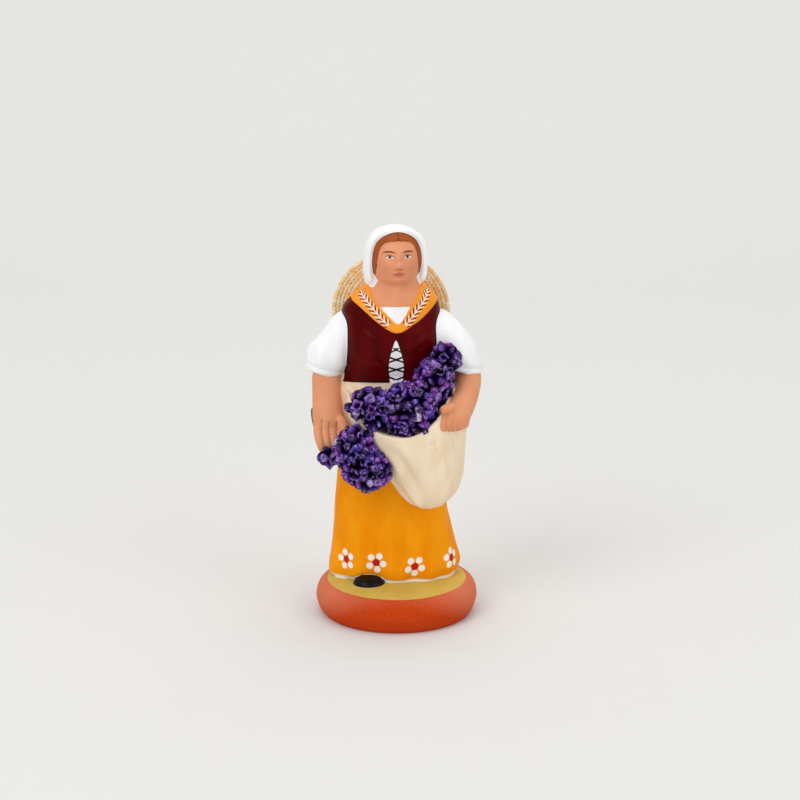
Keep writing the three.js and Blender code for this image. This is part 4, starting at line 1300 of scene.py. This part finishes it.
def blossomShapes():
    collection = bpy.data.collections.new("blossoms")
    bud = [(0.3, -0.5, 0.0), (0.54, -0.22, 0.15), (0.57, 0.12, 0.45), (0.42, 0.38, 0.8), (0.15, 0.48, 1.0)]
    pod = [(0.2, -0.55, 0.0), (0.44, -0.25, 0.2), (0.5, 0.15, 0.45), (0.36, 0.5, 0.8), (0.12, 0.62, 1.0)]
    cup = [(0.2, -0.5, 0.0), (0.46, -0.2, 0.15), (0.56, 0.28, 1.0), (0.38, 0.22, 0.8), (0.12, -0.05, 0.0)]
    shapes = [
        ("roundBud", bud, 3, 0.1, 0.92), ("creasedBud", bud, 2, 0.2, 0.86), ("longBud", pod, 4, 0.12, 0.8),
        ("foldedBud", pod, 2, 0.26, 0.7), ("lobedBud", bud, 4, 0.16, 1.0), ("openBlossom", cup, 4, 0.14, 0.9),
    ]
    for shape in shapes:
        own = blossomMesh(*shape)
        own.shade_smooth()
        collection.objects.link(bpy.data.objects.new(own.name, own))
    return collection


def newTree(name, measures):
    tree = bpy.data.node_groups.new(name, "GeometryNodeTree")
    tree.interface.new_socket("Geometry", in_out="INPUT", socket_type="NodeSocketGeometry")
    for measure, value in measures.items():
        socket = tree.interface.new_socket(measure, in_out="INPUT", socket_type="NodeSocketFloat")
        socket.default_value = value
    tree.interface.new_socket("Seed", in_out="INPUT", socket_type="NodeSocketInt")
    tree.interface.new_socket("Geometry", in_out="OUTPUT", socket_type="NodeSocketGeometry")
    return tree, addNode(tree, "NodeGroupInput", output=None).outputs


def shadeCopies(tree, copies, name, lowest):  # each copy's own random shade, for the material
    limits = {2: lowest, 3: 1.0, "Seed": 5}
    shade = addNode(tree, "FunctionNodeRandomValue", output=1, data_type="FLOAT", inputs=limits)
    kept = {"Geometry": copies, "Name": name, "Value": shade}
    return addNode(tree, "GeometryNodeStoreNamedAttribute", data_type="FLOAT", domain="INSTANCE", inputs=kept)


def finishTree(tree, geometry, material):
    real = addNode(tree, "GeometryNodeRealizeInstances", geometry)
    dressed = addNode(tree, "GeometryNodeSetMaterial", real, inputs={"Material": material})
    addNode(tree, "NodeGroupOutput", dressed, output=None)
    return tree


def blossomTree(collection, material):
    tree, given = newTree("blossomScatter", {"Spacing": 0.8, "Blossom Size": 1.1})
    room = addNode(tree, "GeometryNodeInputNamedAttribute", "room", data_type="FLOAT")
    scatter = {
        "Mesh": given["Geometry"], "Distance Min": given["Spacing"], "Density Max": 6.0,
        "Density Factor": room, "Seed": given["Seed"],
    }
    spots = addNode(tree, "GeometryNodeDistributePointsOnFaces", output=None, distribute_method="POISSON",
                    inputs=scatter)
    shapes = addNode(tree, "GeometryNodeCollectionInfo", collection, True, True)
    tip = addNode(tree, "FunctionNodeRandomValue", (-0.9, -0.9, 0), (0.9, 0.9, 6.28),
                  data_type="FLOAT_VECTOR", inputs={"Seed": 3})
    facing = addNode(tree, "FunctionNodeRotateRotation", spots.outputs["Rotation"], tip,
                     rotation_space="LOCAL")
    limits = {2: 0.7, 3: 1.25, "Seed": 4}
    size = addNode(tree, "FunctionNodeRandomValue", output=1, data_type="FLOAT", inputs=limits)
    grow = addNode(tree, "ShaderNodeMath", size, given["Blossom Size"], operation="MULTIPLY")
    copies = addNode(tree, "GeometryNodeInstanceOnPoints", inputs={
        "Points": spots.outputs[0], "Instance": shapes, "Pick Instance": True, "Rotation": facing,
        "Scale": grow,
    })
    together = addNode(tree, "GeometryNodeJoinGeometry", given["Geometry"], output=None)
    tree.links.new(shadeCopies(tree, copies, "blossomShade", 0.02), together.inputs[0])
    return finishTree(tree, together.outputs[0], material)


def putModifier(obj, tree, values):  # runs a tree on an object, with its inputs set by name
    modifier = obj.modifiers.new(tree.name, "NODES")
    modifier.node_group = tree
    sockets = {item.name: item.identifier for item in tree.interface.items_tree if item.in_out == "INPUT"}
    for name, value in values.items():
        modifier[sockets[name]] = value
    settle(obj)


figureShell = BVHTree.FromObject(figure, bpy.context.evaluated_depsgraph_get())


def lavenderMass(name, node, middle, mounds, tree, seed, material):
    pieces = [
        ball(name, np.add(middle, by), half, sides=40, rows=28, grow=lavenderSizes["core"])
        for by, half in mounds
    ]
    verts, faces = joined(pieces)
    for obj in pieces:
        bpy.data.objects.remove(obj)
    obj = makeObject(name, verts, faces)
    addRemesh(obj, lavenderSizes["voxel"])
    settle(obj)
    spots = vertsOf(obj.data)
    spots[:, 2] += figureSizes["groundHeight"]
    setVerts(obj.data, spots)
    room = np.zeros(len(spots))
    for i, spot in enumerate(spots * mm):
        near, facing, _, gap = figureShell.find_nearest(spot.tolist())
        outside = (Vector(spot) - near).dot(facing) > 0
        room[i] = 1.0 if outside and gap > lavenderSizes["clearance"] * mm else 0.0
    setAttribute(obj.data, "room", room)
    # no rim and the lowest tone make the core near black: painted shade in the gaps between blossoms
    for attribute in ("blossomShade", "rim"):
        setAttribute(obj.data, attribute, np.zeros(len(spots)))
    putModifier(obj, tree, {
        "Spacing": lavenderSizes["spacing"], "Blossom Size": lavenderSizes["blossom"], "Seed": seed,
    })
    finishPiece(obj, material)
    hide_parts(node)
    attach(obj, "root")
    print(name, len(obj.data.polygons), "faces")


# each mound's middle, from the pouch's mouth or from the palm, and half its size
heapMounds = [
    ((-4.3, -7.8, -5.6), (4.5, 3.6, 3.0)), ((2.0, -8.0, -6.5), (5.4, 4.3, 5.0)),
    ((6.3, -6.6, -1.5), (3.5, 3.2, 3.9)), ((8.1, -5.3, 2.0), (2.7, 2.4, 2.8)),
    ((-3.7, -8.3, -7.4), (3.4, 3.0, 2.5)), ((5.7, -8.9, -6.5), (2.0, 2.6, 2.6)),
]
bunchMounds = [
    ((4.8, -5.3, -3.2), (3.9, 3.6, 4.1)), ((6.9, -5.3, -6.6), (4.1, 3.4, 4.0)),
    ((0.3, -4.4, -4.6), (2.0, 1.7, 1.8)),
]
mouth = (pouchMouth["x"], 0, pouchMouth["z"])
lavender = lavenderMaterial()
scatterTree = blossomTree(blossomShapes(), lavender)
lavenderMass("lavenderHeap", "lavender_heap", mouth, heapMounds, scatterTree, 3, lavender)
lavenderMass("lavenderBunch", "lavender_bunch", rightPalm, bunchMounds, scatterTree, 8, lavender)


# Straw hat

hatSizes = {
    "radius": 10.6,
    "crownRadius": 5.4,
    "crownDepth": 3.6,
    "thickness": 0.6,
    "droop": 1.4,
    "rowPitch": 0.62,  # one row of braid to the next
    "stitchPitch": 0.7,
    "strawLength": 1.15,
    "strawWidth": 0.52,
    "strawThickness": 0.17,
    "strawLean": 0.42,
    "strawRise": 0.2,  # over the middle of the braid
}
# the first, brown tone is only the core's: painted shade between the straws
strawTones = [(0.0, "#B47A38"), (0.1, "#FFCF8C"), (0.5, "#FFE0A6"), (0.8, "#FFEEC6"), (1.0, "#FFF8E2")]


def strawMaterial():
    # plaited wheat straw: split stalks with a dry sheen, pale gold, with painted shade between the rows
    material, tree, shader, inMm = newMaterial("plaitedWheatStraw")
    own = addNode(tree, "ShaderNodeAttribute", output="Fac", attribute_name="strawShade")
    ramp = addNode(tree, "ShaderNodeValToRGB", own, output=None)
    fillRamp(ramp, strawTones)
    fibre = addNode(tree, "ShaderNodeTexNoise", inMm, inputs={"Scale": 4.0, "Detail": 3.0})
    fleck = addNode(tree, "ShaderNodeMapRange", fibre, 0.38, 0.62, 0.3, 0.0)
    worn = {0: fleck, 6: ramp.outputs[0], 7: linear("#D6A768")}
    colour = addNode(tree, "ShaderNodeMix", output=2, data_type="RGBA", inputs=worn)
    tree.links.new(colour, shader.inputs["Base Color"])
    shader.inputs["Roughness"].default_value = 0.5
    shader.inputs["Specular IOR Level"].default_value = 0.3
    return material


def hatProfile():  # radius and depth of the middle of the straw, from the brim's edge to the crown's top
    r, depth = hatSizes["crownRadius"], hatSizes["crownDepth"]
    half = hatSizes["thickness"] / 2
    return [
        (hatSizes["radius"] - half, -half), ((r + hatSizes["radius"]) / 2, -half - 0.03), (r + half, -half),
        (r - half * 0.6, depth * 0.15), (r * 0.96 - half, depth * 0.63), (r * 0.82, depth * 0.93 - half),
        (r * 0.5, depth - half), (0.01, depth - half),
    ]


def hatPoint(line, turn):
    r, depth = line
    x, z = r * np.cos(turn), r * np.sin(turn)
    return x, depth - hatSizes["droop"] * (x / hatSizes["radius"]) ** 2, z


def hatCore():  # the braid's inside, painted dark as shade where it shows in the gaps
    half = hatSizes["thickness"] / 2 - 0.16
    line = along(hatProfile(), np.linspace(0, 1, 80))
    step = np.gradient(line, axis=0)
    normal = np.stack([step[:, 1], -step[:, 0]], 1) / np.linalg.norm(step, axis=1)[:, None]
    closedLine = np.vstack([line + normal * half, (line - normal * half)[::-1]])
    closedLine[:, 0] = np.maximum(closedLine[:, 0], 0.01)
    turn = fullTurn(120)
    rings = np.stack([np.stack(hatPoint((r, depth), turn), 1) for r, depth in closedLine])
    rows, sides = rings.shape[:2]
    j = np.arange(sides)
    k = (j + 1) % sides
    faces = []
    for row in range(rows):
        low, high = row * sides, ((row + 1) % rows) * sides
        faces.extend(np.stack([low + j, low + k, high + k, high + j], 1).tolist())
    obj = makeObject("strawHat", rings.reshape(-1, 3), faces)
    shell = bmesh.new()
    shell.from_mesh(obj.data)
    bmesh.ops.remove_doubles(shell, verts=shell.verts, dist=0.05)
    bmesh.ops.recalc_face_normals(shell, faces=shell.faces)
    shell.to_mesh(obj.data)
    shell.free()
    return obj


def swung(flat, turn):  # a direction in the profile's plane, turned round the hat
    return np.array([flat[0] * math.cos(turn), flat[1], flat[0] * math.sin(turn)])


def strawSpots():  # one place for each visible straw, with how it lies
    lean, rise = hatSizes["strawLean"], hatSizes["strawRise"]
    line = along(hatProfile(), np.linspace(0, 1, 400))
    lengths = np.concatenate([[0], np.cumsum(np.linalg.norm(np.diff(line, axis=0), axis=1))])
    spots, turns, outs = [], [], []
    rows = int(lengths[-1] / hatSizes["rowPitch"])
    for row in range(rows + 1):
        place = (row + 0.35) * hatSizes["rowPitch"]
        r, depth = (np.interp(place, lengths, line[:, k]) for k in (0, 1))
        a, b = (np.array([np.interp(place + d, lengths, line[:, k]) for k in (0, 1)]) for d in (-0.2, 0.2))
        direction = (b - a) / max(np.hypot(*(b - a)), 1e-6)
        count = max(5, round(2 * math.pi * r / hatSizes["stitchPitch"]))
        for face in (1, -1):
            normal = np.array([direction[1], -direction[0]]) * face
            for i in range(count):
                turn = 2 * math.pi * (i + 0.5 * (row % 2)) / count
                side = 1 if row % 2 else -1
                spots.append(hatPoint((r + normal[0] * rise, depth + normal[1] * rise), turn))
                outs.append(swung(normal, turn))
                ringWay = np.array([-math.sin(turn), 0, math.cos(turn)])
                turns.append(ringWay * math.cos(lean) + side * swung(direction, turn) * math.sin(lean))
    return np.array(spots), np.array(turns), np.array(outs)


def strawShape():
    shell = bmesh.new()
    bmesh.ops.create_cube(shell, size=1.0)
    bmesh.ops.bevel(shell, geom=shell.edges, offset=0.28, segments=1, affect="EDGES")
    own = bpy.data.meshes.new("straw")
    shell.to_mesh(own)
    shell.free()
    return bpy.data.objects.new("straw", own)


def strawTree(straw, material):
    measures = {"Straw Length": 1.2, "Straw Width": 0.4, "Straw Thickness": 0.24}
    tree, given = newTree("strawBraid", measures)
    way = addNode(tree, "GeometryNodeInputNamedAttribute", "way", data_type="FLOAT_VECTOR")
    out = addNode(tree, "GeometryNodeInputNamedAttribute", "out", data_type="FLOAT_VECTOR")
    facing = addNode(tree, "FunctionNodeAxesToRotation", out, way, primary_axis="Z", secondary_axis="X")
    jitter = addNode(tree, "FunctionNodeRandomValue", (-0.12, -0.12, -0.18), (0.12, 0.12, 0.18),
                     data_type="FLOAT_VECTOR", inputs={"Seed": given["Seed"]})
    turned = addNode(tree, "FunctionNodeRotateRotation", facing, jitter, rotation_space="LOCAL")
    size = addNode(tree, "ShaderNodeCombineXYZ", *(given[measure] for measure in measures))
    shape = addNode(tree, "GeometryNodeObjectInfo", straw, output="Geometry")
    places = addNode(tree, "GeometryNodeInputNamedAttribute", "strawSpot", data_type="FLOAT")
    copies = addNode(tree, "GeometryNodeInstanceOnPoints", inputs={
        "Points": given["Geometry"], "Selection": places, "Instance": shape, "Rotation": turned,
        "Scale": size,
    })
    return finishTree(tree, shadeCopies(tree, copies, "strawShade", 0.15), material)


def strawHat():
    material = strawMaterial()
    core = hatCore()
    # the core takes the darkest tone: painted shade in the gaps
    setAttribute(core.data, "strawShade", np.zeros(len(core.data.vertices)))
    spots, ways, outs = strawSpots()
    braid = makeObject("strawBraid", spots, [])
    setAttribute(braid.data, "strawSpot", np.ones(len(spots)))
    for name, values in (("way", ways), ("out", outs)):
        attribute = braid.data.attributes.new(name, "FLOAT_VECTOR", "POINT")
        attribute.data.foreach_set("vector", values.astype(np.float32).ravel())
    putModifier(braid, strawTree(strawShape(), material), {
        "Straw Length": hatSizes["strawLength"], "Straw Width": hatSizes["strawWidth"],
        "Straw Thickness": hatSizes["strawThickness"], "Seed": 6,
    })
    shell = bmesh.new()
    shell.from_mesh(core.data)
    shell.from_mesh(braid.data)
    shell.to_mesh(core.data)
    shell.free()
    bpy.data.objects.remove(braid)
    low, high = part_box("straw_hat")
    middle = [(a + b) / 2 / mm for a, b in zip(low, high)]
    verts = vertsOf(core.data)
    lift = np.array([middle[0], high[1] / mm - hatSizes["crownDepth"], middle[2]])
    setVerts(core.data, verts + lift)
    finishPiece(core, material)
    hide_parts("straw_hat")
    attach(core, "root")
    print("straw hat:", len(core.data.polygons), "faces")


strawHat()


# Floor, light and camera

stageSizes = {"floorReach": 1.2, "wallAt": 0.5, "bend": 0.25}


def makeStage():
    reach, wall, bend = stageSizes["floorReach"], stageSizes["wallAt"], stageSizes["bend"]
    line = [(-reach, 0), (wall - bend, 0)]
    for a in np.linspace(0.1, math.pi / 2, 12):
        line.append((wall - bend + bend * math.sin(a), bend - bend * math.cos(a)))
    line.append((wall, 1.5))
    verts = [(side, y, z) for y, z in line for side in (-reach * 2, reach * 2)]
    faces = [(2 * i, 2 * i + 1, 2 * i + 3, 2 * i + 2) for i in range(len(line) - 1)]
    floor = makeObject("studioFloor", verts, faces)
    floor.data.shade_smooth()
    # matt studio paper: an even pale grey-white with no gloss
    material, _, shader, _ = newMaterial("mattStudioPaper")
    shader.inputs["Base Color"].default_value = linear("#E2E1DE")
    shader.inputs["Roughness"].default_value = 0.9
    floor.data.materials.append(material)


def addLight(name, place, target, size, power):
    lamp = bpy.data.lights.new(name, "AREA")
    lamp.shape = "DISK"
    lamp.size = size
    lamp.energy = power
    obj = bpy.data.objects.new(name, lamp)
    obj.location = place
    obj.rotation_euler = (Vector(target) - Vector(place)).to_track_quat("-Z", "Y").to_euler()
    bpy.context.scene.collection.objects.link(obj)


cameraSizes = {
    "distance": 450.0,
    "elevation": 15.5,
    "target": (0.6, 0.0, 38.7),
    "pixelsPerMm": 5.70,
    "frame": 800,
}


def makeCamera():
    data = bpy.data.cameras.new("photoCamera")
    focal = cameraSizes["pixelsPerMm"] * cameraSizes["distance"]
    data.sensor_width = 36
    data.lens = focal * data.sensor_width / cameraSizes["frame"]
    data.clip_start = 0.01
    obj = bpy.data.objects.new("photoCamera", data)
    rise = math.radians(cameraSizes["elevation"])
    target = Vector(cameraSizes["target"]) * mm
    back = Vector((0, -math.cos(rise), math.sin(rise))) * cameraSizes["distance"] * mm
    obj.location = target + back
    obj.rotation_euler = (-back).to_track_quat("-Z", "Y").to_euler()
    bpy.context.scene.collection.objects.link(obj)
    bpy.context.scene.camera = obj


makeStage()
aim = (0, 0, 0.035)
addLight("softboxLeft", (-0.45, -0.55, 0.65), aim, 0.55, 2.4)
addLight("softboxRight", (0.55, -0.5, 0.45), aim, 0.6, 1.0)
addLight("softboxTop", (0.05, 0.1, 0.9), aim, 0.9, 2.7)
world = bpy.data.worlds.new("studio")
bpy.context.scene.world = world
world.use_nodes = True
world.node_tree.nodes["Background"].inputs[0].default_value = linear("#EFF0F2")
world.node_tree.nodes["Background"].inputs[1].default_value = 0.67
bpy.context.scene.view_settings.view_transform = "Standard"
makeCamera()
print("stage, lights and camera set")
